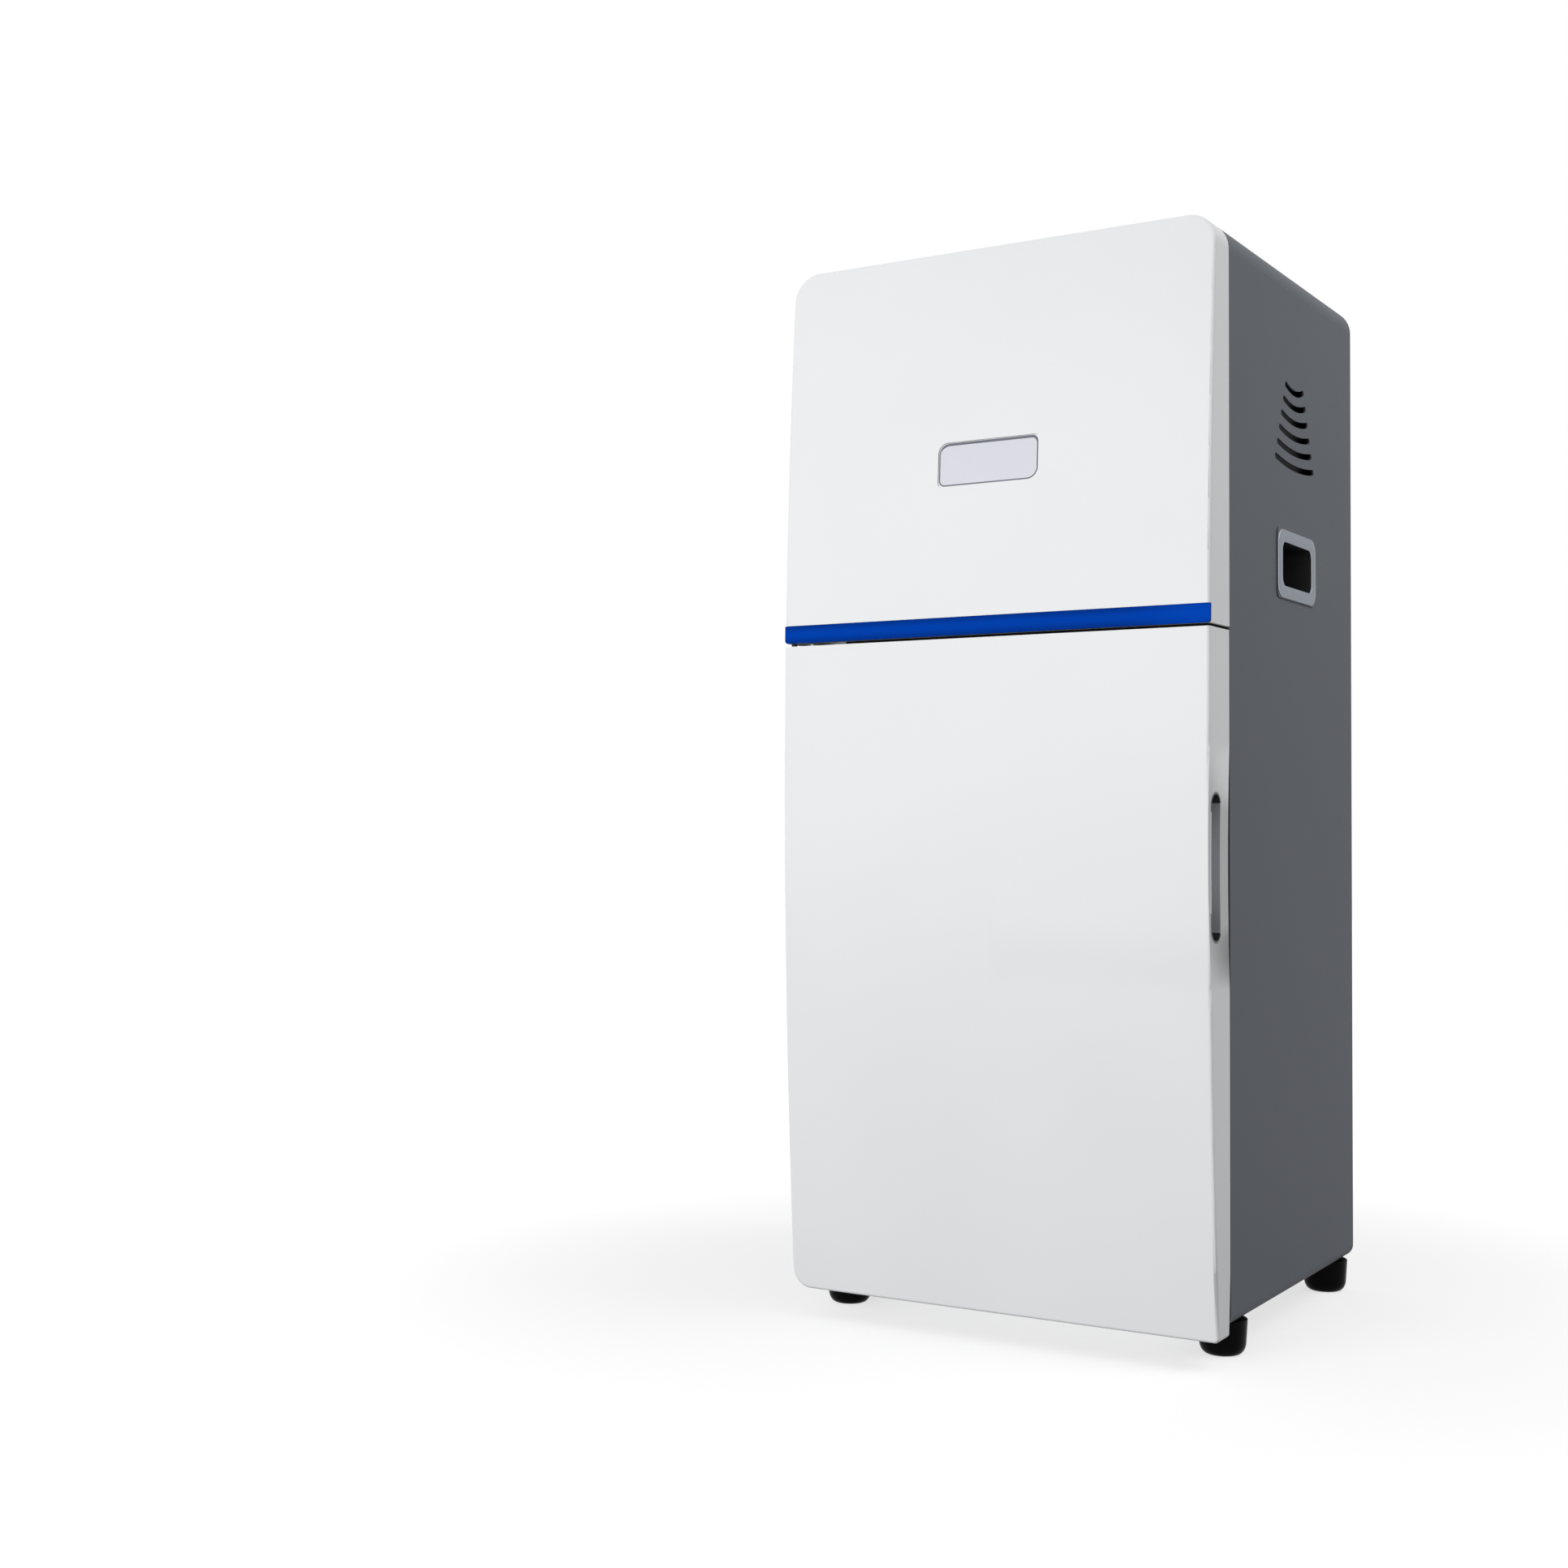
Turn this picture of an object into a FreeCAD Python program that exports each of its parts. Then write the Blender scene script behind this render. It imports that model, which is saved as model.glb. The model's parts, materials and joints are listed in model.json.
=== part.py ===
import FreeCAD, Part
import math
import os

# Chemiluminescence imaging cabinet: a light-tight chamber behind a hinged door,
# and above it the camera, filter wheel, supply and controller.
# Millimetres. +Z up, front towards -Y, origin on the floor under the middle.

V = FreeCAD.Vector

# Cabinet
body_width = 340.0
body_depth = 292.0
body_height = 775.0
foot_height = 25.0
shell_wall = 1.5
top_corner_radius = 21.0
bottom_corner_radius = 10.0
shell_flange = 14.0
foot_flange = 46.0
pan_edge = 16.0
pan_sheet = 2.0
slip = 0.3
screw_radius = 2.0
screw_head_radius = 3.6
screw_head_height = 1.8
rear_top_screw_x = 60.0
rear_screw_margin = 40.0
rear_screw_rows = 4

# Bowed front
front_depth = 41.0
front_bulge = 15.5
skin_wall = 2.5
front_edge_radius = 2.2
panel_seam = 0.3

# Door and its hinge
head_height = 286.6
door_gap = 2.4
door_skirt = 5.0
door_back_gap = 1.0
door_low_left_radius = 15.0
door_small_radius = 3.2
door_heel_height = 45.0
door_heel_gap = 3.0
hinge_inset = 11.0
hinge_set_forward = 14.0
hinge_swing_gap = 0.6
pin_radius = 3.0
pin_length = 13.0
pin_clearance = 0.05
bush_wall = 1.5
bush_flange = 0.9
boss_wall = 2.2
boss_length = 15.0
bracket_thickness = 3.0
bracket_half_width = 6.0
bracket_leg_reach = 22.0
bracket_wing_width = 40.0
bracket_wing_depth = 14.0
bracket_wing_screws = (6.0, 26.0)
bracket_leg_screws = (7.0, 17.0)
bracket_leg_height = 24.0

# Grip pocket in the free side of the door
grip_low = 270.0
grip_high = 371.0
grip_front = 34.5
grip_back = 17.0
grip_reach = 26.0
grip_wall = 1.5
scallop_half_length = 85.0
scallop_depth = 1.2

# Upper front panel
trim_height = 13.3
trim_thickness = 3.0
window_width = 80.5
window_drop = 176.5
window_height = 32.5
window_big_radius = 8.0
window_small_radius = 3.0
window_recess = 0.8
window_thickness = 2.4
board_thickness = 1.6
light_count = 5
light_pitch = 14.0
light_size = 5.0

# Dark chamber
sheet = 1.2
frame_sheet = 1.5
deck_drop = 14.4
chamber_side_margin = 22.0
chamber_back_margin = 32.0
chamber_floor_height = 30.0
mouth_side_margin = 26.0
mouth_low = 36.0
mouth_top_margin = 8.0
mouth_radius = 8.0
seal_width = 10.0
deck_thickness = 3.0
lens_port_radius = 42.0
collar_wall = 1.5

# Tray and rails
rail_levels = (60.0, 150.0, 240.0)
rail_height = 10.0
rail_leg = 13.0
rail_sheet = 1.5
rail_set_back = 16.0
rail_back_gap = 8.0
tray_level = 0
tray_side_gap = 7.0
tray_back_gap = 4.0
tray_height = 13.0
tray_sheet = 1.5
tray_radius = 6.0
tray_set_back = 34.0
tray_pull_half_width = 32.0
tray_pull_reach = 12.0

# Chamber lights
light_leg = 20.0
light_back_gap = 24.0
light_wall = 1.6
light_set_back = 26.0
diffuser_thickness = 2.0

# Filter wheel
gear_module = 2.75
wheel_teeth = 64
pinion_teeth = 16
pressure_angle = 20.0
gear_backlash = 0.25
gear_steps = 3
wheel_thickness = 6.0
wheel_lift = 12.0
wheel_axle_radius = 5.0
wheel_hub_radius = 12.0
filter_count = 5
filter_orbit = 57.0
filter_radius = 25.0
filter_lip = 1.5
filter_thickness = 3.0

# Lens and camera
lens_forward = 14.0
lens_gap = 6.0
lens_radius = 31.0
lens_length = 78.0
lens_wall = 3.0
lens_curve_radius = 60.0
ring_thickness = 4.0
ring_height = 16.0
ring_clearance = 0.06
iris_height = 10.0
bridge_sheet = 3.0
bridge_half_width = 60.0
bridge_reach = 108.0
bridge_flange = 14.0
camera_width = 92.0
camera_height = 84.0
camera_corner_radius = 6.0
sink_base = 5.0
sink_height = 24.0
fin_thickness = 2.0
fin_count = 11
small_fan_size = 60.0
small_fan_depth = 15.0

# Motor that turns the wheel
motor_size = 42.0
motor_length = 38.0
motor_shaft_radius = 2.5
motor_plate = 3.0
pilot_height = 2.0
pinion_height = 8.0

# Supply, controller and rear services
supply_size = (84.0, 158.0, 38.0)
supply_side_gap = 4.0
supply_set_back = 12.0
controller_size = (118.0, 92.0)
controller_side_gap = 16.0
controller_drop = 185.0
controller_standoff = 14.0
# Each chip: distance along and up the board, width, height, thickness
controller_chips = ((20.0, 40.0, 24.0, 24.0, 2.0), (60.0, 44.0, 14.0, 14.0, 1.5),
                    (10.0, 78.0, 50.0, 8.0, 8.0))
controller_cans = ((90.0, 30.0), (104.0, 30.0))
can_radius = 5.0
can_height = 12.0
usb_inset = 70.0
usb_lift = 14.0
usb_half_width = 6.0
usb_half_height = 5.5
fan_size = 92.0
fan_depth = 25.0
fan_side_margin = 88.0
fan_drop = 110.0
blade_count = 7
small_blade_count = 5
blade_thickness = 1.4
guard_wire = 2.0
guard_proud = 3.0
service_sheet = 1.0
service_margin = 8.0
inlet_side_margin = 58.0
inlet_lift = 31.6
inlet_half_width = 14.0
inlet_half_height = 30.0
inlet_flange = 1.8
inlet_depth = 26.0
socket_half_width = 12.2
socket_half_height = 8.4
socket_depth = 16.8
rocker_half_width = 9.5
rocker_half_height = 8.0
rocker_pin_radius = 2.0
rocker_pin_reach = 2.0

# Carry cups
cup_rearward = 1.5
cup_lift = 31.6
cup_height = 51.0
cup_length = 89.0
cup_band = 9.0
cup_depth = 32.0
cup_wall = 1.8
cup_radius = 7.0
cup_seat = 0.8
cup_seat_margin = 0.6
cup_seat_radius = 5.0
bezel_thickness = 1.0
bezel_radius = 11.0

# Side vents, a column of sagging slots that grow longer downwards
vent_drop = 93.0
vent_count = 6
vent_pitch = 11.5
vent_top_length = 40.0
vent_bottom_length = 88.0
vent_width = 4.6
vent_sag = 3.5
screen_reach = 9.0
screen_margin = 8.0

# Feet
foot_top_radius = 17.6
foot_shoulder_radius = 16.6
foot_shoulder_height = 9.0
foot_sole_radius = 10.5
foot_inset = 17.5
foot_front_inset = 32.0
foot_rear_inset = 19.0
foot_screw_radius = 3.0
foot_head_radius = 5.0
foot_head_height = 4.0
foot_bore_depth = 9.0

# Places that follow from the sizes
half_width = body_width / 2
overall_depth = front_depth + body_depth + guard_proud
plane_y = front_depth - overall_depth / 2
rear_y = plane_y + body_depth
base_z = foot_height
top_z = base_z + body_height
middle_z = base_z + body_height / 2
bow_radius = ((body_height / 2) ** 2 + front_bulge ** 2) / (2 * front_bulge)
bow_centre_y = plane_y - front_depth + bow_radius
pin_x = -half_width + hinge_inset
pin_y = plane_y - hinge_set_forward
panel_low_z = top_z - head_height
door_high_z = panel_low_z - door_gap
door_low_z = base_z - door_skirt
door_floor_z = base_z + bush_flange + slip
deck_z = panel_low_z - deck_drop
deck_top_z = deck_z + deck_thickness
middle_y = plane_y + body_depth / 2
lens_y = middle_y - lens_forward
wheel_x = filter_orbit
wheel_radius = gear_module * wheel_teeth / 2
pinion_radius = gear_module * pinion_teeth / 2
pinion_y = lens_y + wheel_radius + pinion_radius
wheel_z = deck_top_z + wheel_lift
lens_z = wheel_z + wheel_thickness + lens_gap
bridge_z = lens_z + lens_length
camera_z = bridge_z + bridge_sheet
sink_z = camera_z + camera_height
small_fan_z = sink_z + sink_height
inner_half = half_width - shell_wall
chamber_half_width = half_width - chamber_side_margin
mouth_half_width = half_width - mouth_side_margin
mouth_low_z = base_z + mouth_low
mouth_high_z = deck_z - mouth_top_margin
tray_half_width = chamber_half_width - tray_side_gap
chamber_depth = body_depth - chamber_back_margin
window_low_z = top_z - window_drop
fan_centre_x = half_width - fan_side_margin
fan_centre_z = top_z - fan_drop
inlet_centre_x = inlet_side_margin - half_width
inlet_centre_z = panel_low_z + inlet_lift
controller_x = controller_side_gap - inner_half
controller_z = top_z - controller_drop
service_y = rear_y + service_sheet
chamber_front_y = plane_y + frame_sheet
chamber_back_y = plane_y + chamber_depth
chamber_floor_z = base_z + chamber_floor_height
panel_front_y = rear_y - frame_sheet


def at(normal, u, v, n):
    """Point from two in-plane coordinates and one along the normal."""
    if normal == "x":
        return V(n, u, v)
    if normal == "y":
        return V(u, n, v)
    return V(u, v, n)


def box(x0, x1, y0, y1, z0, z1):
    return Part.makeBox(x1 - x0, y1 - y0, z1 - z0, V(x0, y0, z0))


def rod(normal, u, v, low, high, radius):
    axis = at(normal, 0, 0, 1)
    return Part.makeCylinder(radius, high - low, at(normal, u, v, low), axis)


def tube(normal, u, v, low, high, outer, inner):
    return rod(normal, u, v, low, high, outer).cut(rod(normal, u, v, low, high, inner))


def profile(normal, level, points, radii):
    """Closed wire through the points, each corner rounded by its own radius."""
    count = len(points)
    starts, ends, middles = [], [], []
    for i in range(count):
        corner = V(points[i][0], points[i][1], 0)
        before = V(points[i - 1][0], points[i - 1][1], 0) - corner
        after = V(points[(i + 1) % count][0], points[(i + 1) % count][1], 0) - corner
        before.normalize()
        after.normalize()
        half = before.getAngle(after) / 2
        run = radii[i] / math.tan(half)
        bisector = before + after
        bisector.normalize()
        starts.append(corner + before * run)
        ends.append(corner + after * run)
        middles.append(corner + bisector * (radii[i] / math.sin(half) - radii[i]))
    edges = []
    for i in range(count):
        following = (i + 1) % count
        if radii[i] > 0:
            edges.append(Part.Arc(*[at(normal, p.x, p.y, level)
                                    for p in (starts[i], middles[i], ends[i])]).toShape())
        if (starts[following] - ends[i]).Length > 1e-6:
            edges.append(Part.makeLine(at(normal, ends[i].x, ends[i].y, level),
                                       at(normal, starts[following].x, starts[following].y, level)))
    return Part.Wire(edges)


def prism(normal, low, high, points, radii=None):
    wire = profile(normal, low, points, radii or [0] * len(points))
    return Part.Face(wire).extrude(at(normal, 0, 0, high - low))


def slab(normal, low, high, u0, u1, v0, v1, radii=0):
    """Rectangle with rounded corners, from low u and low v round to high v."""
    if not isinstance(radii, (tuple, list)):
        radii = [radii] * 4
    return prism(normal, low, high, [(u0, v0), (u1, v0), (u1, v1), (u0, v1)], radii)


def fused(pieces):
    whole = pieces[0]
    for piece in pieces[1:]:
        whole = whole.fuse(piece)
    return whole.removeSplitter()


def cut_all(shape, tools):
    for tool in tools:
        shape = shape.cut(tool)
    return shape


def mirrored(shape):
    return shape.mirror(V(0, 0, 0), V(1, 0, 0))


def save(name, shape):
    """Write one node; a list is a group of separate solids."""
    if isinstance(shape, list):
        solids = [solid for piece in shape for solid in piece.Solids]
    else:
        solids = shape.Solids
    result = solids[0] if len(solids) == 1 else Part.makeCompound(solids)
    if not result.isValid():
        raise ValueError(name + " is not a valid solid")
    result.exportStep("parts/" + name + ".step")


def bow_y(z, inset=0.0):
    """Depth of the bowed front at a height."""
    return bow_centre_y - math.sqrt((bow_radius - inset) ** 2 - (z - middle_z) ** 2)


def bowed(x0, x1, z0, z1, inset, back_y):
    """Block whose front face is the bow, set in by a wall."""
    mid = (z0 + z1) / 2
    front = Part.Arc(V(x0, bow_y(z0, inset), z0), V(x0, bow_y(mid, inset), mid),
                     V(x0, bow_y(z1, inset), z1)).toShape()
    corners = [V(x0, bow_y(z1, inset), z1), V(x0, back_y, z1),
               V(x0, back_y, z0), V(x0, bow_y(z0, inset), z0)]
    lines = [Part.makeLine(corners[i], corners[i + 1]) for i in range(3)]
    return Part.Face(Part.Wire([front] + lines)).extrude(V(x1 - x0, 0, 0))


def front_block(z0, z1, radii, inset, back_y):
    """Bowed block trimmed to the front view's rounded outline."""
    block = bowed(-half_width - 1, half_width + 1, z0 - 1, z1 + 1, inset, back_y)
    outline = slab("y", plane_y - 2 * front_depth, plane_y + front_depth,
                   -half_width + inset, half_width - inset, z0 + inset, z1 - inset,
                   [max(radius - inset, 0) for radius in radii])
    return block.common(outline)


def front_edges(shape):
    """Edges all round the bowed face."""
    return [edge for edge in shape.Edges
            if all(abs(v.Y - bow_y(v.Z)) < 0.01 for v in edge.Vertexes)]


def gear_outline(teeth, phase):
    """Points of a spur gear with involute flanks, one tooth centred on the phase angle."""
    pitch = gear_module * teeth / 2
    base = pitch * math.cos(math.radians(pressure_angle))
    tip = pitch + gear_module
    root = pitch - 1.25 * gear_module
    foot = max(base, root)
    involute = lambda radius: (math.sqrt(max((radius / base) ** 2 - 1, 0))
                               - math.acos(min(base / radius, 1)))
    half_pitch = math.pi / (2 * teeth) - gear_backlash / (2 * pitch) + involute(pitch)
    flank = []
    for step in range(gear_steps):
        radius = foot + (tip - foot) * step / (gear_steps - 1)
        flank.append((radius, half_pitch - involute(radius)))
    if root < foot:
        flank.insert(0, (root, half_pitch))
    points = []
    for tooth in range(teeth):
        centre = phase + 2 * math.pi * tooth / teeth
        for radius, half in flank:
            points.append((radius * math.cos(centre - half), radius * math.sin(centre - half)))
        for radius, half in reversed(flank):
            points.append((radius * math.cos(centre + half), radius * math.sin(centre + half)))
    return points


def gear(teeth, phase, x, y, low, high):
    points = [V(x + px, y + py, low) for px, py in gear_outline(teeth, phase)]
    return Part.Face(Part.makePolygon(points + points[:1])).extrude(V(0, 0, high - low))


def pan_screw(normal, u, v, seat, head_radius, head_height, shank_radius, shank_length, outward):
    """Screw with a bevelled head on a seat; outward is +1 or -1 along the normal."""
    axis = at(normal, 0, 0, outward)
    head = Part.makeCylinder(head_radius, head_height, at(normal, u, v, seat), axis)
    rim = [edge for edge in head.Edges
           if abs(edge.CenterOfMass.dot(axis) - (seat * outward + head_height)) < 0.01]
    head = head.makeChamfer(head_height * 0.4, rim[:1])
    shank = Part.makeCylinder(shank_radius, shank_length, at(normal, u, v, seat), axis * -1)
    return head.fuse(shank)


# Sheet-metal cabinet

def body_outline(inset, low_y, high_y):
    """Section of the cabinet seen from the front, set in by a wall."""
    top = top_corner_radius - inset
    low = max(bottom_corner_radius - inset, 0)
    return slab("y", low_y, high_y, -half_width + inset, half_width - inset,
                base_z + inset, top_z - inset, [low, low, top, top])


def vent_slot(row, low_x, high_x):
    """One slot of even width along an arc, through a side wall."""
    half = (vent_top_length + (vent_bottom_length - vent_top_length) * row / (vent_count - 1)) / 2
    height = top_z - vent_drop - row * vent_pitch
    places = [V(low_x, middle_y + y, height + z)
              for y, z in ((-half, 0), (0, -vent_sag), (half, 0))]
    circle = Part.Arc(*places).toShape().Curve
    spokes = [(place - circle.Center).normalize() for place in places]
    outer = [circle.Center + spoke * (circle.Radius + vent_width / 2) for spoke in spokes]
    inner = [circle.Center + spoke * (circle.Radius - vent_width / 2) for spoke in spokes]
    turn = spokes[0].cross(spokes[2]).normalize()
    first_cap = places[0] + spokes[0].cross(turn) * (vent_width / 2)
    last_cap = places[2] - spokes[2].cross(turn) * (vent_width / 2)
    edges = [Part.Arc(*outer).toShape(),
             Part.Arc(outer[2], last_cap, inner[2]).toShape(),
             Part.Arc(inner[2], inner[1], inner[0]).toShape(),
             Part.Arc(inner[0], first_cap, outer[0]).toShape()]
    return Part.Face(Part.Wire(edges)).extrude(V(high_x - low_x, 0, 0))


def vent_screen():
    """Folded sheet behind the right-hand vents; air passes round its open ends, light doesn't."""
    wall = inner_half - slip
    inner = wall - screen_reach
    high = top_z - vent_drop + vent_width / 2 + screen_margin
    low = top_z - vent_drop - (vent_count - 1) * vent_pitch - vent_sag - vent_width / 2 - screen_margin
    half = vent_bottom_length / 2 + screen_margin
    points = [(wall, low - screen_margin), (wall, low + sheet), (inner + sheet, low + sheet),
              (inner + sheet, high - sheet), (wall, high - sheet), (wall, high + screen_margin),
              (wall - sheet, high + screen_margin), (wall - sheet, high), (inner, high),
              (inner, low), (wall - sheet, low), (wall - sheet, low - screen_margin)]
    return prism("y", middle_y - half, middle_y + half, points)


def cup_rect(grow, low_x, high_x, radius):
    """Rounded opening of the right-hand carry cup, grown on all sides."""
    centre = middle_y + cup_rearward
    reach = cup_length / 2 - cup_band + grow
    low = panel_low_z + cup_lift + cup_band - grow
    high = panel_low_z + cup_lift + cup_height - cup_band + grow
    return slab("x", low_x, high_x, centre - reach, centre + reach, low, high, radius)


def outer_shell():
    shell = body_outline(0, plane_y, rear_y).cut(body_outline(shell_wall, plane_y - 1, rear_y + 1))
    ring = body_outline(0, plane_y + frame_sheet, plane_y + frame_sheet + shell_wall)
    ring = ring.cut(body_outline(shell_flange, plane_y - 1, rear_y))
    back_ring = body_outline(0, panel_front_y - shell_wall, panel_front_y)
    back_ring = back_ring.cut(body_outline(shell_flange, plane_y, rear_y))
    shell = fused([shell, ring, back_ring])
    open_half = half_width - foot_flange
    shell = shell.cut(box(-open_half, open_half, plane_y + shell_flange, rear_y - shell_flange,
                          base_z - 1, base_z + shell_wall + 0.5))
    for side in (1, -1):
        low, high = (inner_half - 1, half_width + 1)
        tools = [cup_rect(cup_wall + slip, low, high, cup_radius + cup_wall + slip)]
        tools += [vent_slot(row, low, high) for row in range(vent_count)]
        for tool in tools:
            shell = shell.cut(tool if side > 0 else mirrored(tool))
    for x, y in foot_places():
        shell = shell.cut(rod("z", x, y, base_z - 1, base_z + shell_wall + 1, foot_screw_radius + slip))
    for x, z in rear_screw_places():
        shell = shell.cut(rod("y", x, z, panel_front_y - 3, rear_y, screw_radius + pin_clearance))
    for x, y in bracket_screw_places():
        shell = shell.cut(rod("z", x, y, base_z - 1, base_z + shell_wall + 1, screw_radius + pin_clearance))
    return shell


def bracket_screw_places():
    """Screws of the lower hinge bracket, up into the floor."""
    return [(pin_x + offset, plane_y + bracket_wing_depth - 5.5) for offset in bracket_wing_screws]


def bracket_screw_heights():
    """Screws of the upper hinge bracket, into the front frame."""
    return [door_high_z + slip + bracket_thickness + offset for offset in bracket_leg_screws]


def foot_places():
    xs = (-half_width + foot_inset, half_width - foot_inset)
    ys = (plane_y + foot_front_inset, rear_y - foot_rear_inset)
    return [(x, y) for y in ys for x in xs]


def base_plate():
    low = base_z + shell_wall
    inset = shell_wall + slip
    front, back = plane_y + frame_sheet + shell_wall + slip, panel_front_y - shell_wall - slip
    high = low + pan_edge
    half = inner_half - inset
    pan = slab("z", low, high, -half, half, front, back, 2)
    hollow_half = half - pan_sheet
    pan = pan.cut(slab("z", low + pan_sheet, high + 1, -hollow_half, hollow_half,
                       front + pan_sheet, back - pan_sheet, 1))
    pan = pan.common(body_outline(shell_wall + slip, plane_y, rear_y).translated(V(0, 0, -slip)))
    for x, y in foot_places():
        pan = pan.cut(rod("z", x, y, low - 1, low + 3, foot_screw_radius + slip))
    for x, y in bracket_screw_places():
        pan = pan.cut(rod("z", x, y, low - 1, low + 3, screw_radius + pin_clearance))
    return pan


def foot(x, y):
    """Cup that rounds in to a flat sole, with a recess for its screw."""
    sole = V(foot_sole_radius, 0, 0)
    shoulder = V(foot_shoulder_radius, 0, foot_shoulder_height)
    bulge = V(foot_sole_radius + (foot_shoulder_radius - foot_sole_radius) * 0.72, 0,
              foot_shoulder_height * 0.33)
    outline = [Part.makeLine(V(0, 0, 0), sole), Part.Arc(sole, bulge, shoulder).toShape(),
               Part.makeLine(shoulder, V(foot_top_radius, 0, foot_height)),
               Part.makeLine(V(foot_top_radius, 0, foot_height), V(0, 0, foot_height)),
               Part.makeLine(V(0, 0, foot_height), V(0, 0, 0))]
    body = Part.Face(Part.Wire(outline)).revolve(V(0, 0, 0), V(0, 0, 1), 360)
    body = body.cut(rod("z", 0, 0, -1, foot_bore_depth, foot_head_radius + slip))
    body = body.cut(rod("z", 0, 0, -1, foot_height + 1, foot_screw_radius + slip))
    return body.translated(V(x, y, 0))


def foot_fastener(x, y):
    length = foot_height - foot_bore_depth + shell_wall + 8
    screw = pan_screw("z", x, y, foot_bore_depth, foot_head_radius, foot_head_height,
                      foot_screw_radius, length, -1)
    nut_low = base_z + shell_wall + pan_sheet
    nut = prism("z", nut_low, nut_low + 5, [(x + 5.5 * math.cos(math.radians(a)),
                                            y + 5.5 * math.sin(math.radians(a)))
                                           for a in range(0, 360, 60)])
    return [screw, nut.cut(rod("z", x, y, nut_low - 1, nut_low + 6, foot_screw_radius))]


def rear_screw_places():
    x = half_width - shell_flange / 2 - 1
    low, high = base_z + rear_screw_margin, top_z - rear_screw_margin
    step = (high - low) / (rear_screw_rows - 1)
    places = [(side * x, low + step * row) for row in range(rear_screw_rows) for side in (-1, 1)]
    return places + [(side * rear_top_screw_x, top_z - shell_flange / 2 - 1) for side in (-1, 1)]


def service_opening(grow, low_y, high_y, radius):
    """Opening in the rear panel behind the inlet and the data socket, grown on all sides."""
    left = inlet_centre_x - inlet_half_width - service_margin
    right = controller_x + usb_inset + usb_half_width + service_margin
    low = inlet_centre_z - inlet_half_height - service_margin
    high = controller_z + usb_lift + usb_half_height + service_margin
    return slab("y", low_y, high_y, left - grow, right + grow, low - grow, high + grow, radius)


def service_screw_places():
    bounds = service_opening(service_margin / 2, 0, 1, 2).BoundBox
    return [(x, z) for x in (bounds.XMin, bounds.XMax) for z in (bounds.ZMin, bounds.ZMax)]


def rear_panel():
    low, high = panel_front_y - 1, rear_y + 1
    panel = body_outline(shell_wall + slip, panel_front_y, rear_y)
    panel = panel.cut(rod("y", fan_centre_x, fan_centre_z, low, high, fan_size / 2 - 3))
    panel = panel.cut(service_opening(0, low, high, 4))
    places = rear_screw_places() + service_screw_places()
    places += fan_corners(fan_size, fan_centre_x, fan_centre_z)
    return cut_all(panel, [rod("y", x, z, low, high, screw_radius + slip) for x, z in places])


def service_plate():
    """Plate over the opening that carries the mains inlet and the data socket."""
    low, high = rear_y - 1, service_y + 1
    plate = service_opening(service_margin, rear_y, service_y, 4)
    inlet_hole = slab("y", low, high, inlet_centre_x - inlet_half_width, inlet_centre_x + inlet_half_width,
                      inlet_centre_z - inlet_half_height, inlet_centre_z + inlet_half_height, 1)
    holes = [rod("y", x, z, low, high, screw_radius + slip) for x, z in service_screw_places()]
    return cut_all(plate, [inlet_hole, usb_block(slip, low, high)] + holes)


def front_frame():
    outline = body_outline(shell_wall + slip, plane_y, plane_y + frame_sheet)
    mouth = slab("y", plane_y - 1, plane_y + frame_sheet + 1, -mouth_half_width, mouth_half_width,
                 mouth_low_z, mouth_high_z, mouth_radius)
    light_gap = slab("y", plane_y - 1, plane_y + frame_sheet + 1,
                     -window_width / 2 + 6, window_width / 2 - 6,
                     window_low_z + 5, window_low_z + window_height - 5, 3)
    holes = [rod("y", pin_x + 12, z, plane_y - 1, plane_y + 3, screw_radius + pin_clearance)
             for z in bracket_screw_heights()]
    return cut_all(outline, [mouth, light_gap] + holes)


# Bowed front pieces

def upper_front_panel():
    """Moulded shell, open at the back and below, with a ledge behind the strip."""
    radii = [0, 0, top_corner_radius, top_corner_radius]
    back = plane_y - panel_seam
    blank = front_block(panel_low_z - top_corner_radius * 2, top_z,
                        [top_corner_radius] * 4, 0, back)
    blank = blank.makeFillet(front_edge_radius, front_edges(blank))
    outer = blank.common(box(-half_width, half_width, plane_y - 2 * front_depth, plane_y,
                             panel_low_z, top_z))
    ledge_z = panel_low_z + trim_height
    inner = front_block(ledge_z, top_z, radii, skin_wall, plane_y + 1)
    side = half_width - skin_wall
    mouth = bowed(-side, side, panel_low_z - 1, ledge_z + skin_wall + 1, trim_thickness + skin_wall,
                  plane_y + 1)
    panel = cut_all(outer, [inner, mouth])
    panel = panel.cut(trim_rebate())
    panel = panel.cut(window_block(0.2, -1, front_depth))
    return panel


def trim_band(grow, outline):
    """Layer just under the bowed face, cut out by a front outline."""
    low, high = panel_low_z - 2, panel_low_z + trim_height + 2
    layer = bowed(-half_width - 2, half_width + 2, low, high, -grow, plane_y)
    layer = layer.cut(bowed(-half_width - 3, half_width + 3, low - 1, high + 1,
                            trim_thickness + grow, plane_y + 1))
    return layer.common(outline)


def trim_rebate():
    """Step along the panel's lower edge that the strip lies in."""
    grow = slip / 2
    outline = slab("y", plane_y - 2 * front_depth, plane_y, -half_width - 1, half_width + 1,
                   panel_low_z - 1, panel_low_z + trim_height + grow)
    return trim_band(grow, outline)


def blue_trim_strip():
    outline = slab("y", plane_y - 2 * front_depth, plane_y, -half_width, half_width,
                   panel_low_z, panel_low_z + trim_height, [2.5, 2.5, 0, 0])
    return trim_band(0, outline)


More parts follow.
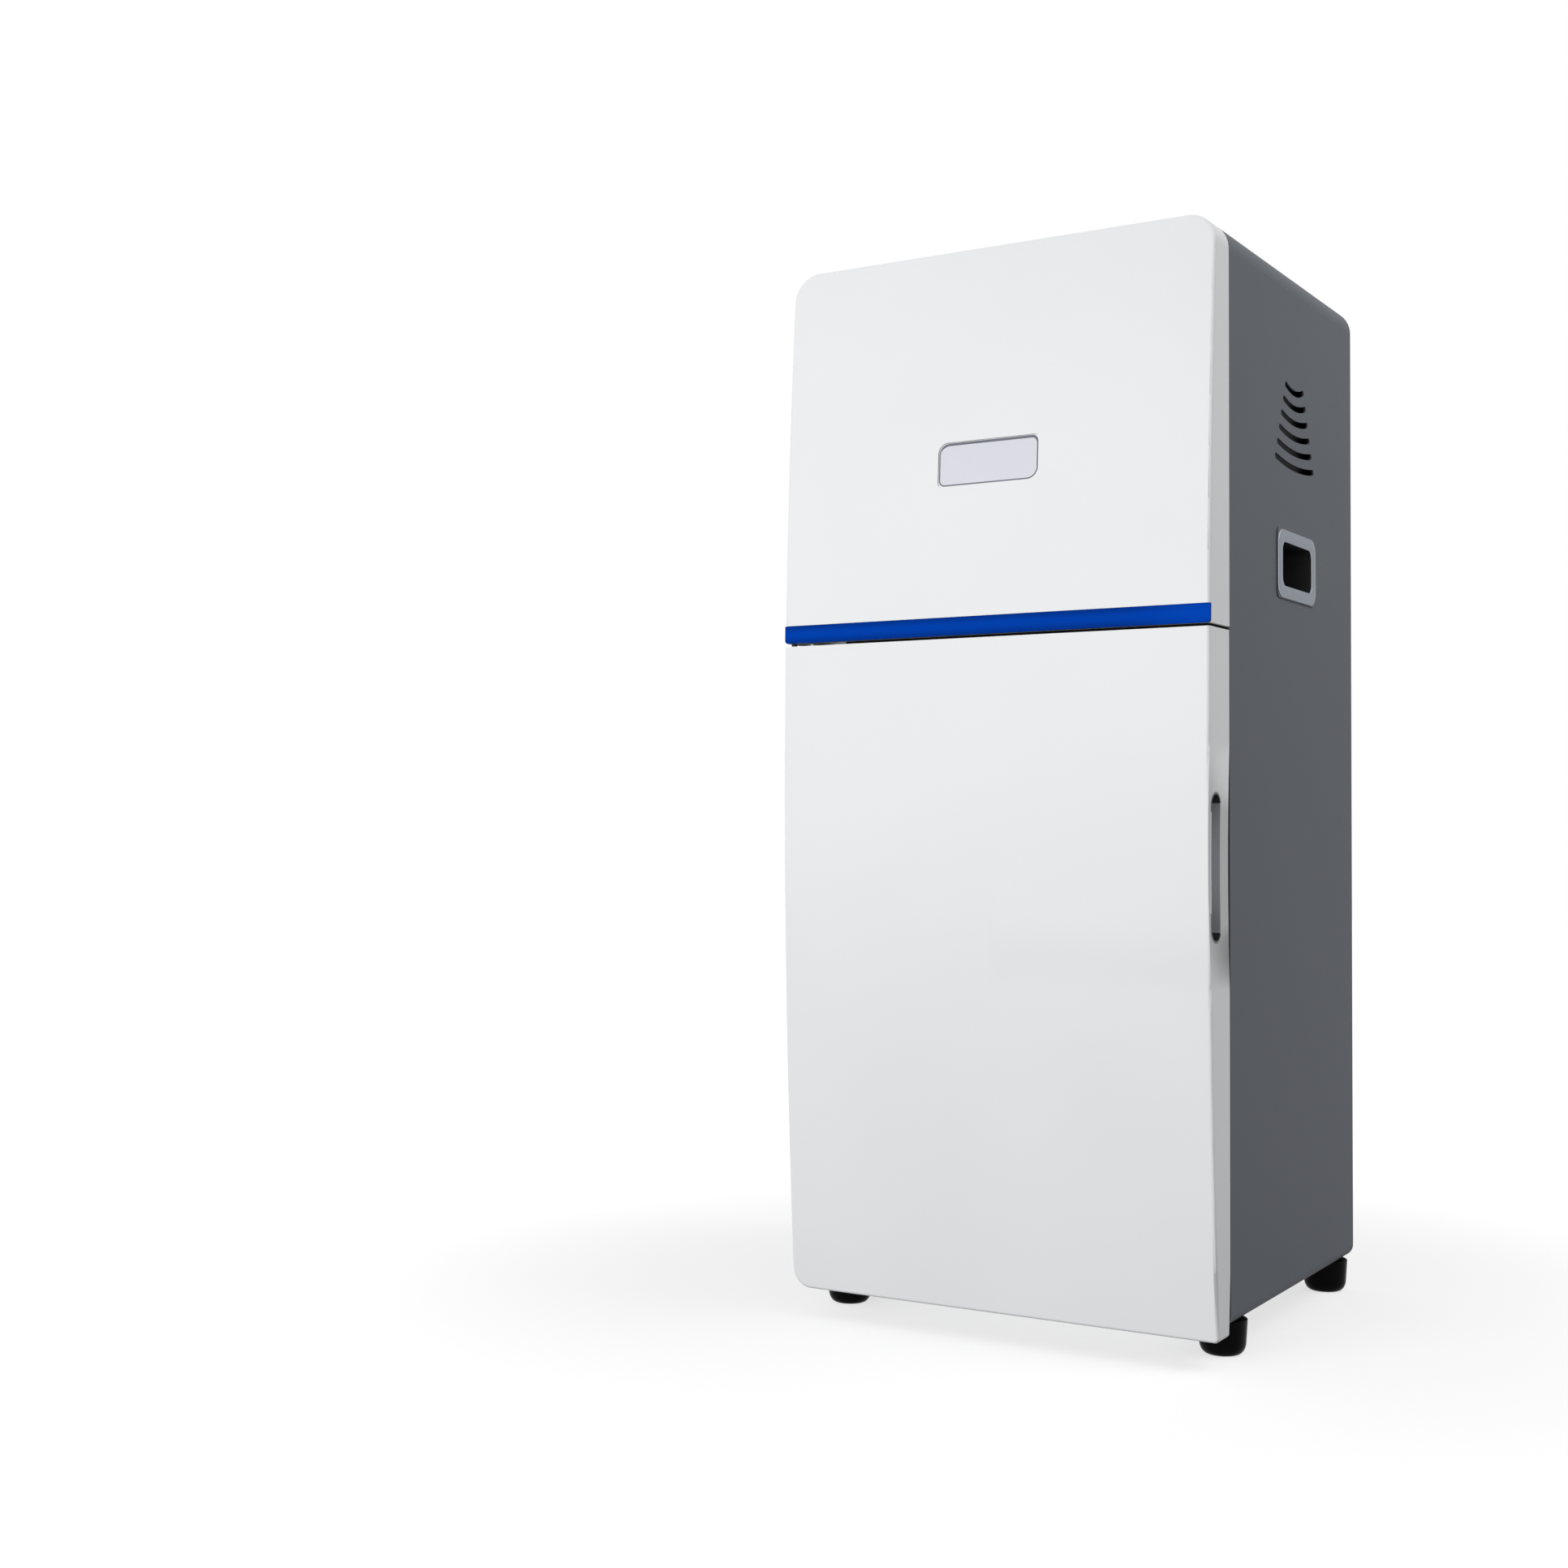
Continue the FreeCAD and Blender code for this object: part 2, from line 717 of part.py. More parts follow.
def window_block(grow, near, far):
    """Window outline between two depths measured in from the bowed face."""
    radii = [window_small_radius + grow, window_big_radius + grow,
             window_small_radius + grow, window_big_radius + grow]
    low = window_low_z
    outline = slab("y", plane_y - 2 * front_depth, plane_y, -window_width / 2 - grow,
                   window_width / 2 + grow, low - grow, low + window_height + grow, radii)
    band = bowed(-window_width, window_width, low - 20, low + window_height + 20, near, plane_y)
    if far < front_depth:
        band = band.cut(bowed(-window_width - 1, window_width + 1, low - 21, low + window_height + 21,
                              far, plane_y + 1))
    return outline.common(band)


def status_window():
    lens = window_block(0, window_recess, window_recess + window_thickness)
    lip = window_block(3, skin_wall, window_recess + window_thickness)
    return fused([lens, lip])


def status_light_board():
    low = window_low_z
    face_y = bow_y(low + window_height / 2, window_recess + window_thickness) + 5
    board = box(-window_width / 2 + 4, window_width / 2 - 4, face_y, face_y + board_thickness,
                low + 3, low + window_height - 3)
    pieces = [board]
    middle = low + window_height / 2
    for column in range(light_count):
        x = (column - (light_count - 1) / 2) * light_pitch
        pieces.append(box(x - light_size / 2, x + light_size / 2, face_y - 2, face_y,
                          middle - light_size / 2, middle + light_size / 2))
    for x in (-window_width / 2 + 8, window_width / 2 - 8):
        for z in (low + 7, low + window_height - 7):
            pieces.append(rod("y", x, z, face_y + board_thickness, plane_y, 2.5))
    return fused(pieces)


def door_block(inset, back_y):
    """Door form with its back corner turned round the hinge pin."""
    radii = [door_low_left_radius, door_small_radius, door_small_radius, door_small_radius]
    block = front_block(door_low_z, door_high_z + front_depth, radii, inset, back_y)
    if inset == 0:
        block = block.makeFillet(front_edge_radius, front_edges(block))
    block = block.common(box(-half_width, half_width, plane_y - 2 * front_depth, plane_y + front_depth,
                             door_low_z, door_high_z - inset))
    reach = hinge_set_forward - hinge_swing_gap
    corner = box(-half_width - 1, pin_x, pin_y, plane_y + front_depth, door_low_z - 1, door_high_z + 1)
    corner = corner.cut(rod("z", pin_x, pin_y, door_low_z - 1, door_high_z + 1, reach - inset))
    return block.cut(corner)


def door_skin():
    outer = door_block(0, plane_y - door_back_gap)
    skirt = box(-half_width - 1, half_width + 1, plane_y - 2 * front_depth, plane_y,
                door_low_z - 1, door_floor_z)
    under = bowed(-half_width - 1, half_width - skin_wall, door_low_z - 1, door_floor_z,
                  skin_wall, plane_y + 1)
    shell = outer.cut(skirt.common(under))
    void = door_block(skin_wall, plane_y + 1)
    void = void.cut(box(-half_width, half_width, plane_y - 2 * front_depth, plane_y + 2,
                        door_low_z, door_floor_z + skin_wall))
    bosses = []
    for low, high in ((door_floor_z, door_floor_z + boss_length), (door_high_z - boss_length, door_high_z)):
        bosses.append(rod("z", pin_x, pin_y, low, high, pin_radius + bush_wall + boss_wall))
    void = cut_all(void, bosses)
    shell = shell.cut(void)
    hole = rod("z", pin_x, pin_y, door_low_z, door_floor_z + boss_length, pin_radius + bush_wall)
    top_hole = rod("z", pin_x, pin_y, door_high_z - boss_length, door_high_z + 1, pin_radius + bush_wall)
    grip_hole = grip_cavity(grip_wall + 0.1, half_width + 1)
    return cut_all(shell, [hole, top_hole, grip_hole, scallop(), door_heel()])


def door_heel():
    """Wedge taken off the back of the door's free side, where it meets the floor of the cabinet."""
    back = plane_y - door_back_gap
    return prism("x", half_width - 20, half_width + 1,
                 [(back - door_heel_gap, door_low_z - 1), (plane_y + 1, door_low_z - 1),
                  (plane_y + 1, door_low_z + door_heel_height), (back, door_low_z + door_heel_height)])


def scallop():
    """Shallow hollow along the door's free side, round the grip."""
    radius = (scallop_half_length ** 2 + scallop_depth ** 2) / (2 * scallop_depth)
    return rod("y", half_width - scallop_depth + radius, catch_z(), plane_y - 2 * front_depth, plane_y,
               radius)


def grip_cavity(grow, reach_x):
    low, high = base_z + grip_low - grow, base_z + grip_high + grow
    near, far = plane_y - grip_front - grow, plane_y - grip_back + grow
    radius = (far - near) / 2 - 0.5
    return slab("x", half_width - grip_reach - grow, reach_x, near, far, low, high, radius)


def grip_insert():
    cup = grip_cavity(grip_wall, half_width)
    return cut_all(cup, [grip_cavity(0, half_width + 1), scallop()])


def door_panel_y():
    return plane_y - door_back_gap - 5.0


def door_inner_panel():
    front = door_panel_y()
    panel = door_block(skin_wall + slip, plane_y + 1)
    panel = panel.common(box(-half_width, half_width, front, front + sheet,
                             door_floor_z + skin_wall + slip, door_high_z))
    half, low, high = mouth_half_width - 30, mouth_low_z + 30, mouth_high_z - 30
    press = slab("y", front - 3, front + 0.01, -half, half, low, high, 20)
    hollow = slab("y", front - 3 + sheet, front + sheet + 1, sheet - half, half - sheet,
                  low + sheet, high - sheet, 20 - sheet)
    panel = fused([panel, press]).cut(hollow)
    boss_hole = pin_radius + bush_wall + boss_wall + slip
    return panel.cut(rod("z", pin_x, pin_y, door_low_z, door_high_z, boss_hole))


def door_seal():
    low_y, high_y = door_panel_y() + sheet, plane_y - slip
    near, far = 2.0, 2.0 + seal_width
    outer = slab("y", low_y, high_y, -mouth_half_width - far, mouth_half_width + far,
                 mouth_low_z - far, mouth_high_z + far, mouth_radius + far)
    inner = slab("y", low_y - 1, high_y + 1, -mouth_half_width - near, mouth_half_width + near,
                 mouth_low_z - near, mouth_high_z + near, mouth_radius + near)
    return outer.cut(inner)


def hinge_bushes():
    """Flanged sleeves in the door's bottom and top."""
    hole = pin_radius + pin_clearance
    outer = pin_radius + bush_wall
    length = boss_length - 1
    bottom = fused([rod("z", pin_x, pin_y, door_floor_z - bush_flange, door_floor_z + length, outer),
                    rod("z", pin_x, pin_y, door_floor_z - bush_flange, door_floor_z, outer + 1.2)])
    top = rod("z", pin_x, pin_y, door_high_z - length, door_high_z, outer)
    through = rod("z", pin_x, pin_y, door_low_z, door_high_z + 1, hole)
    return [bottom.cut(through), top.cut(through)]


def hinge_bracket_bottom():
    low, high = base_z - bracket_thickness, base_z
    tongue = box(pin_x - bracket_half_width, pin_x + bracket_half_width, pin_y, plane_y + 4, low, high)
    nose = rod("z", pin_x, pin_y, low, high, bracket_half_width)
    wing = slab("z", low, high, pin_x - bracket_half_width, pin_x - bracket_half_width + bracket_wing_width,
                plane_y + 1, plane_y + bracket_wing_depth, 2)
    plate = fused([tongue, nose, wing])
    for x, y in bracket_screw_places():
        plate = plate.cut(rod("z", x, y, low - 1, high + 1, screw_radius + pin_clearance))
    pin = rod("z", pin_x, pin_y, low, door_floor_z + pin_length, pin_radius)
    return fused([plate, pin])


def hinge_bracket_top():
    low = door_high_z + slip
    high = low + bracket_thickness
    tongue = box(pin_x - bracket_half_width, pin_x + bracket_half_width, pin_y, plane_y, low, high)
    nose = rod("z", pin_x, pin_y, low, high, bracket_half_width)
    leg = slab("y", plane_y - bracket_thickness, plane_y, pin_x - bracket_half_width,
               pin_x + bracket_leg_reach, low, high + bracket_leg_height, [0, 0, 2, 2])
    plate = fused([tongue, nose, leg])
    for z in bracket_screw_heights():
        plate = plate.cut(rod("y", pin_x + 12, z, plane_y - 5, plane_y + 1, screw_radius + pin_clearance))
    pin = rod("z", pin_x, pin_y, door_high_z - pin_length, high, pin_radius)
    return fused([plate, pin])


def bracket_screws():
    length = bracket_thickness + 6
    screws = [pan_screw("z", x, y, base_z - bracket_thickness, screw_head_radius, screw_head_height,
                        screw_radius, length, -1) for x, y in bracket_screw_places()]
    screws += [pan_screw("y", pin_x + 12, z, plane_y - bracket_thickness, screw_head_radius,
                         screw_head_height, screw_radius, length, -1) for z in bracket_screw_heights()]
    return screws


def door_buffer():
    """Dark rubber stop on the door's hinge corner, seen in the gap under the strip."""
    x, y = -half_width + 5, bow_y(door_high_z) + 6
    return rod("z", x, y, door_high_z, door_high_z + door_gap - slip, 2.2)


def catch_z():
    return base_z + (grip_low + grip_high) / 2


def magnet_catch():
    """Magnet in a plastic block set in the frame beside the mouth."""
    x = (mouth_half_width + 2 + seal_width + inner_half - slip) / 2
    return box(x - 4, x + 4, plane_y - 1.6, plane_y, catch_z() - 20, catch_z() + 20)


def strike_plate():
    x = (mouth_half_width + 2 + seal_width + inner_half - slip) / 2
    front = door_panel_y() + sheet
    return box(x - 4, x + 4, front, plane_y - 1.6 - slip, catch_z() - 20, catch_z() + 20)


# Dark chamber

def chamber_wall():
    """Left wall; the right one is its mirror image."""
    outer = -chamber_half_width - sheet
    low = chamber_floor_z + sheet
    wall = box(outer, -chamber_half_width, chamber_front_y, chamber_back_y, low, deck_z)
    flange_edge = -half_width + shell_flange + slip
    flange = box(flange_edge, outer, chamber_front_y, chamber_front_y + sheet, low, deck_z)
    return fused([wall, flange])


def chamber_back_wall():
    low = chamber_floor_z + sheet
    back = box(-chamber_half_width - sheet, chamber_half_width + sheet, chamber_back_y,
               chamber_back_y + sheet, low, deck_z)
    return back


def chamber_floor():
    half = chamber_half_width + sheet
    top = box(-half, half, chamber_front_y, chamber_back_y + sheet, chamber_floor_z, chamber_floor_z + sheet)
    low = base_z + shell_wall + pan_sheet
    front = chamber_front_y + shell_wall + 4
    legs = [box(side * (half - 20) - sheet / 2, side * (half - 20) + sheet / 2, front,
                chamber_back_y, low, chamber_floor_z) for side in (-1, 1)]
    return fused([top] + legs)


def camera_deck():
    half = inner_half - slip
    front, back = plane_y + frame_sheet + shell_wall + slip, panel_front_y - shell_wall - slip
    deck = box(-half, half, chamber_front_y, back, deck_z, deck_top_z)
    notch = shell_flange + slip
    deck = deck.cut(box(-half - 1, -inner_half + notch, plane_y, front, deck_z - 1, deck_top_z + 1))
    deck = deck.cut(box(inner_half - notch, half + 1, plane_y, front, deck_z - 1, deck_top_z + 1))
    sides = [box(min(side * half, side * (half - 2)), max(side * half, side * (half - 2)), front, back,
                 deck_top_z, deck_top_z + 14) for side in (-1, 1)]
    deck = fused([deck] + sides)
    return deck.cut(rod("z", 0, lens_y, deck_z - 1, deck_top_z + 1, lens_port_radius + collar_wall + slip))


def lens_collar():
    low, high = deck_z - 2, wheel_z - 1.5
    collar = tube("z", 0, lens_y, low, high, lens_port_radius + collar_wall, lens_port_radius)
    flange = tube("z", 0, lens_y, deck_z - 2, deck_z, lens_port_radius + 9, lens_port_radius)
    return fused([collar, flange])


def tray_rail(level):
    """Left rail at one level; it lies on the chamber wall."""
    z = base_z + level
    front = plane_y + rail_set_back
    back = chamber_back_y - rail_back_gap
    wall = -chamber_half_width
    upright = box(wall, wall + rail_sheet, front, back, z, z + rail_height)
    shelf = box(wall, wall + rail_leg, front, back, z, z + rail_sheet)
    return fused([upright, shelf])


def tray_floor_z():
    return base_z + rail_levels[tray_level] + rail_sheet + slip


def sample_tray():
    low = tray_floor_z()
    front = plane_y + tray_set_back
    back = chamber_back_y - tray_back_gap
    tray = slab("z", low, low + tray_height, -tray_half_width, tray_half_width, front, back, tray_radius)
    tray = tray.cut(slab("z", low + tray_sheet, low + tray_height + 1, -tray_half_width + tray_sheet,
                         tray_half_width - tray_sheet, front + tray_sheet, back - tray_sheet,
                         tray_radius - tray_sheet))
    high = low + tray_height
    lip = slab("z", high - tray_sheet, high, -tray_pull_half_width, tray_pull_half_width,
               front - tray_pull_reach, front + tray_sheet, [5, 5, 0, 0])
    drop = box(-tray_pull_half_width + 6, tray_pull_half_width - 6, front - tray_pull_reach,
               front - tray_pull_reach + tray_sheet, high - 8, high)
    return fused([tray, lip, drop])


def light_profile(legs, low_y, high_y, corner):
    """Right triangle in the left upper corner of the chamber."""
    x, z = corner
    return prism("y", low_y, high_y, [(x, z), (x, z - legs), (x + legs, z)])


def led_bar():
    front = plane_y + light_set_back
    back = chamber_back_y - light_back_gap
    x, z = -chamber_half_width, deck_z
    bar = light_profile(light_leg, front, back, (x, z))
    void = light_profile(light_leg, front + light_wall, back - light_wall, (x + light_wall, z - light_wall))
    seat = light_leg - diffuser_thickness * math.sqrt(2)
    void = fused([void, prism("y", front + light_wall, back - light_wall,
                              [(x + light_wall, z - seat - 1), (x + light_wall, z - light_leg),
                               (x + light_leg, z - light_wall), (x + seat + 1, z - light_wall)])])
    return bar.cut(void)


def led_diffuser():
    front = plane_y + light_set_back + light_wall + slip
    back = chamber_back_y - light_back_gap - light_wall - slip
    x, z = -chamber_half_width + light_wall, deck_z - light_wall
    outer = light_leg - 2 * light_wall
    inner = outer - diffuser_thickness * math.sqrt(2)
    return prism("y", front, back, [(x + slip, z - outer), (x + outer, z - slip),
                                    (x + inner, z - slip), (x + slip, z - inner)])


# Filter wheel, lens and camera

def wheel_turn(index):
    return math.pi + 2 * math.pi * index / filter_count


def filter_places():
    turns = [wheel_turn(index) for index in range(filter_count)]
    return [(wheel_x + filter_orbit * math.cos(turn), lens_y + filter_orbit * math.sin(turn))
            for turn in turns]


def filter_wheel():
    wheel = gear(wheel_teeth, math.pi / 2, wheel_x, lens_y, wheel_z, wheel_z + wheel_thickness)
    hub = rod("z", wheel_x, lens_y, wheel_z - 4, wheel_z + wheel_thickness + 4, wheel_hub_radius)
    wheel = fused([wheel, hub])
    bore = wheel_axle_radius + pin_clearance
    wheel = wheel.cut(rod("z", wheel_x, lens_y, wheel_z - 5, wheel_z + 20, bore))
    for x, y in filter_places():
        wheel = wheel.cut(rod("z", x, y, wheel_z - 1, wheel_z + 20, filter_radius - filter_lip))
        wheel = wheel.cut(rod("z", x, y, wheel_z + wheel_thickness - filter_thickness,
                              wheel_z + 20, filter_radius))
    return wheel


def filters():
    low = wheel_z + wheel_thickness - filter_thickness
    return [rod("z", x, y, low, low + filter_thickness - 0.6, filter_radius - 0.05)
            for x, y in filter_places()[1:]]


def wheel_axle():
    post = rod("z", wheel_x, lens_y, deck_top_z, wheel_z + wheel_thickness + 9, wheel_axle_radius)
    foot_disc = rod("z", wheel_x, lens_y, deck_top_z, wheel_z - 4 - slip, wheel_hub_radius - 3)
    cap_low = wheel_z + wheel_thickness + 4 + slip
    cap = rod("z", wheel_x, lens_y, cap_low, cap_low + 2.5, wheel_axle_radius + 3)
    return fused([post, foot_disc, cap])


def drive_pinion():
    phase = -math.pi / 2 + math.pi / pinion_teeth
    low = wheel_z - 1
    pinion = gear(pinion_teeth, phase, wheel_x, pinion_y, low, low + pinion_height)
    sleeve = rod("z", wheel_x, pinion_y, low, motor_low_z() - pilot_height - slip, motor_shaft_radius + 3)
    pinion = fused([pinion, sleeve])
    return pinion.cut(rod("z", wheel_x, pinion_y, low - 1, low + 30, motor_shaft_radius))


def motor_low_z():
    return wheel_z + wheel_thickness + 6 + motor_plate


def motor_bracket():
    low = motor_low_z() - motor_plate
    half = motor_size / 2 + 2
    back = pinion_y + pinion_radius + gear_module + 1.5
    plate = box(wheel_x - half, wheel_x + half, pinion_y - motor_size / 2, back + motor_plate,
                low, low + motor_plate)
    leg = box(wheel_x - half, wheel_x + half, back, back + motor_plate, deck_top_z, low)
    bracket = fused([plate, leg])
    return bracket.cut(rod("z", wheel_x, pinion_y, low - 1, low + motor_plate + 1, 11 + slip))


def wheel_motor():
    low = motor_low_z()
    half = motor_size / 2
    body = slab("z", low, low + motor_length, wheel_x - half, wheel_x + half,
                pinion_y - half, pinion_y + half, 4)
    cut = slab("z", low + 9, low + motor_length - 9, wheel_x - half - 1, wheel_x + half + 1,
               pinion_y - half - 1, pinion_y + half + 1, 0)
    core = slab("z", low + 9, low + motor_length - 9, wheel_x - half + 1, wheel_x + half - 1,
                pinion_y - half + 1, pinion_y + half - 1, 7)
    body = body.cut(cut.cut(core))
    pilot = rod("z", wheel_x, pinion_y, low - pilot_height, low, 11)
    body = fused([body, pilot])
    return body.cut(rod("z", wheel_x, pinion_y, low - 3, low + motor_length - 6,
                        motor_shaft_radius + pin_clearance))


def motor_shaft():
    low = motor_low_z()
    return rod("z", wheel_x, pinion_y, wheel_z - 1, low + motor_length - 6 - slip, motor_shaft_radius)


def lens_barrel():
    high = bridge_z
    barrel = rod("z", 0, lens_y, lens_z, high, lens_radius - ring_thickness - ring_clearance)
    front = rod("z", 0, lens_y, lens_z, lens_z + 12, lens_radius)
    iris_low, focus_low = ring_levels()
    middle = rod("z", 0, lens_y, iris_low + iris_height + slip, focus_low - slip, lens_radius)
    back = rod("z", 0, lens_y, focus_low + ring_height + slip, high, lens_radius - 1)
    body = fused([barrel, front, middle, back])
    bore = lens_radius - ring_thickness - ring_clearance - lens_wall
    body = body.cut(rod("z", 0, lens_y, lens_z - 1, high + 1, bore))
    return body.cut(rod("z", 0, lens_y, lens_z - 1, lens_z + 8, lens_radius - 3))


def ring_levels():
    iris_low = lens_z + 12 + slip
    return iris_low, iris_low + iris_height + slip + 10 + slip


def grip_ring(low, height, outer, ribs):
    """Ribbed ring that turns on the barrel."""
    ring = tube("z", 0, lens_y, low, low + height, outer, lens_radius - ring_thickness)
    flutes = []
    for i in range(ribs):
        angle = 2 * math.pi * i / ribs
        flutes.append(rod("z", (outer + 1) * math.cos(angle), lens_y + (outer + 1) * math.sin(angle),
                          low + 2, low + height - 2, 2))
    return cut_all(ring, flutes)


def lens_glass():
    bore = lens_radius - ring_thickness - ring_clearance - lens_wall
    dome = Part.makeSphere(lens_curve_radius, V(0, lens_y, lens_z + 4 + lens_curve_radius))
    body = rod("z", 0, lens_y, lens_z + 3, lens_z + 12, bore)
    front = body.common(dome)
    rear = rod("z", 0, lens_y, bridge_z - 14, bridge_z - 8, bore)
    return [front, rear]


def camera_bridge():
    half = bridge_half_width
    low = bridge_z
    front, back = lens_y - bridge_reach, lens_y + bridge_reach
    top = slab("z", low, low + bridge_sheet, -half, half, front, back, 3)
    top = top.cut(rod("z", 0, lens_y, low - 1, low + bridge_sheet + 1, lens_radius - 5))
    wheel_clear = wheel_x - motor_size / 2 - 6
    legs = [box(-half, half, front, front + bridge_sheet, deck_top_z, low + 1),
            box(-half, wheel_clear, back - bridge_sheet, back, deck_top_z, low + 1)]
    feet = [box(-half, half, front, front + bridge_flange, deck_top_z, deck_top_z + bridge_sheet),
            box(-half, -half + 24, back - bridge_flange, back, deck_top_z, deck_top_z + bridge_sheet)]
    bridge = fused([top] + legs + feet)
    window = slab("y", front - 1, front + bridge_sheet + 1, -half + 14, half - 14,
                  deck_top_z + 22, low - 14, 8)
    return bridge.cut(window)


def camera_body():
    half = camera_width / 2
    body = slab("z", camera_z, sink_z, -half, half, lens_y - half, lens_y + half, camera_corner_radius)
    grooves = []
    for i in range(4):
        z = camera_z + 20 + i * 14
        outer = slab("z", z, z + 3, -half - 1, half + 1, lens_y - half - 1, lens_y + half + 1, 0)
        inner = slab("z", z - 1, z + 4, -half + 1.2, half - 1.2, lens_y - half + 1.2, lens_y + half - 1.2,
                     camera_corner_radius - 1.2)
        grooves.append(outer.cut(inner))
    body = cut_all(body, grooves)
    return body.cut(rod("z", 0, lens_y, camera_z - 1, camera_z + 12, lens_radius - 8))


def heat_sink():
    half = camera_width / 2 - 4
    base = box(-half, half, lens_y - half, lens_y + half, sink_z, sink_z + sink_base)
    pitch = (2 * half - fin_thickness) / (fin_count - 1)
    fins = [box(-half + i * pitch, -half + i * pitch + fin_thickness, lens_y - half, lens_y + half,
                sink_z + sink_base - 0.01, sink_z + sink_height) for i in range(fin_count)]
    return fused([base] + fins)


def fan_corners(size, u, v):
    reach = size / 2 - size * 0.054
    return [(u + a * reach, v + b * reach) for a in (-1, 1) for b in (-1, 1)]


def fan_frame(normal, u, v, low, size, depth):
    """Square fan housing with a round duct, a motor seat and three struts."""
    half = size / 2
    frame = slab(normal, low, low + depth, u - half, u + half, v - half, v + half, size * 0.05)
    frame = frame.cut(rod(normal, u, v, low - 1, low + depth + 1, half - 2))
    seat = rod(normal, u, v, low, low + 3, size * 0.2)
    struts = []
    for i in range(3):
        angle = math.radians(30 + 120 * i)
        along, across = (math.cos(angle), math.sin(angle)), (-math.sin(angle), math.cos(angle))
        corners = [(u + along[0] * r + across[0] * w, v + along[1] * r + across[1] * w)
                   for r, w in ((size * 0.15, -1.5), (half - 1, -1.5), (half - 1, 1.5), (size * 0.15, 1.5))]
        struts.append(prism(normal, low, low + 3, corners))
    frame = fused([frame, seat] + struts)
    for a, b in fan_corners(size, u, v):
        frame = frame.cut(rod(normal, a, b, low - 1, low + depth + 1, 2.1))
    return frame


def fan_rotor(normal, u, v, low, high, size, blades):
    """Hub with swept blades, each lofted from a steep root to a flatter tip."""
    hub_radius = size * 0.2
    middle = (low + high) / 2
    reach = (high - low) / 2 - 1
    pieces = [rod(normal, u, v, low, high, hub_radius)]
    for i in range(blades):
        sections = []
        for radius, spread, lag in ((hub_radius - 1, 0.36, 0.0), (size / 2 - 4, 0.3, 0.25)):
            angle = 2 * math.pi * i / blades + lag
            centre = at(normal, u + radius * math.cos(angle), v + radius * math.sin(angle), middle)
            along = at(normal, -math.sin(angle), math.cos(angle), 0)
            axis = at(normal, 0, 0, 1)
            chord = along * (radius * spread) + axis * reach
            edge = (along * reach - axis * (radius * spread)).normalize() * (blade_thickness / 2)
            corners = [centre - chord - edge, centre + chord - edge,
                       centre + chord + edge, centre - chord + edge]
            sections.append(Part.makePolygon(corners + corners[:1]))
        pieces.append(Part.makeLoft(sections, True, True))
    return fused(pieces)


def fan_guard():
    """Flat rings joined by two crossed bars, screwed over the fan opening."""
    low, high = rear_y, rear_y + guard_proud
    rings = []
    for radius in (14.0, 23.0, 32.0, 41.0):
        rings.append(tube("y", fan_centre_x, fan_centre_z, low + 1.2, high,
                          radius + guard_wire / 2, radius - guard_wire / 2))
    reach = fan_size / 2 - fan_size * 0.054
    bars = []
    for sign in (-1, 1):
        direction = V(1, 0, sign).normalize()
        side = V(-sign, 0, 1).normalize() * (guard_wire / 2)
        ends = [V(fan_centre_x, 0, fan_centre_z) + direction * (a * reach * math.sqrt(2)) for a in (-1, 1)]
        corners = [ends[0] - side, ends[1] - side, ends[1] + side, ends[0] + side]
        bars.append(prism("y", low, high - 1.2, [(p.x, p.z) for p in corners]))
    places = fan_corners(fan_size, fan_centre_x, fan_centre_z)
    ears = [tube("y", a, b, low, high - 1.2, 4.5, 2.1) for a, b in places]
    guard = fused(rings + bars)
    for a, b in places:
        guard = guard.cut(rod("y", a, b, low - 1, high + 1, 2.1))
    return fused([guard] + ears)


def rear_screws():
    """Screws of the rear panel, the service plate and the fan guard."""
    seats = [(x, z, rear_y, 6.0) for x, z in rear_screw_places()]
    seats += [(x, z, service_y, 4.0) for x, z in service_screw_places()]
    screws = [pan_screw("y", x, z, seat, screw_head_radius, screw_head_height, screw_radius, length, 1)
              for x, z, seat, length in seats]
    seat = rear_y + guard_proud - 1.2
    return screws + [pan_screw("y", x, z, seat, screw_head_radius, 1.2, screw_radius, fan_depth + 2, 1)
                     for x, z in fan_corners(fan_size, fan_centre_x, fan_centre_z)]


# Supply, controller and rear services

def power_supply():
    width, depth, height = supply_size
    x0 = supply_side_gap - inner_half
    y0 = plane_y + supply_set_back
    case = slab("z", deck_top_z, deck_top_z + height, x0, x0 + width, y0, y0 + depth, 1.5)
    slots = []
    for row in range(5):
        y = y0 + 30 + row * 20
        slots.append(slab("z", deck_top_z + height - 2, deck_top_z + height + 1, x0 + 20, x0 + width - 20,
                          y, y + 6, 2.9))
    return cut_all(case, slots)


def board_plane_y():
    return panel_front_y - controller_standoff


def controller_board():
    width, height = controller_size
    x0, z0 = controller_x, controller_z
    back = board_plane_y()
    face = back - board_thickness
    board = box(x0, x0 + width, face, back, z0, z0 + height)
    chips = [box(x0 + x, x0 + x + across, face - tall, face, z0 + z, z0 + z + up)
             for x, z, across, up, tall in controller_chips]
    cans = [rod("y", x0 + x, z0 + z, face - can_height, face, can_radius) for x, z in controller_cans]
    posts = [rod("y", x0 + x, z0 + z, back, panel_front_y, 2.8) for x in (5, width - 5)
             for z in (5, height - 5)]
    return fused([board] + chips + cans + posts)


def usb_block(grow, low_y, high_y):
    x, z = controller_x + usb_inset, controller_z + usb_lift
    return box(x - usb_half_width - grow, x + usb_half_width + grow, low_y, high_y,
               z - usb_half_height - grow, z + usb_half_height + grow)


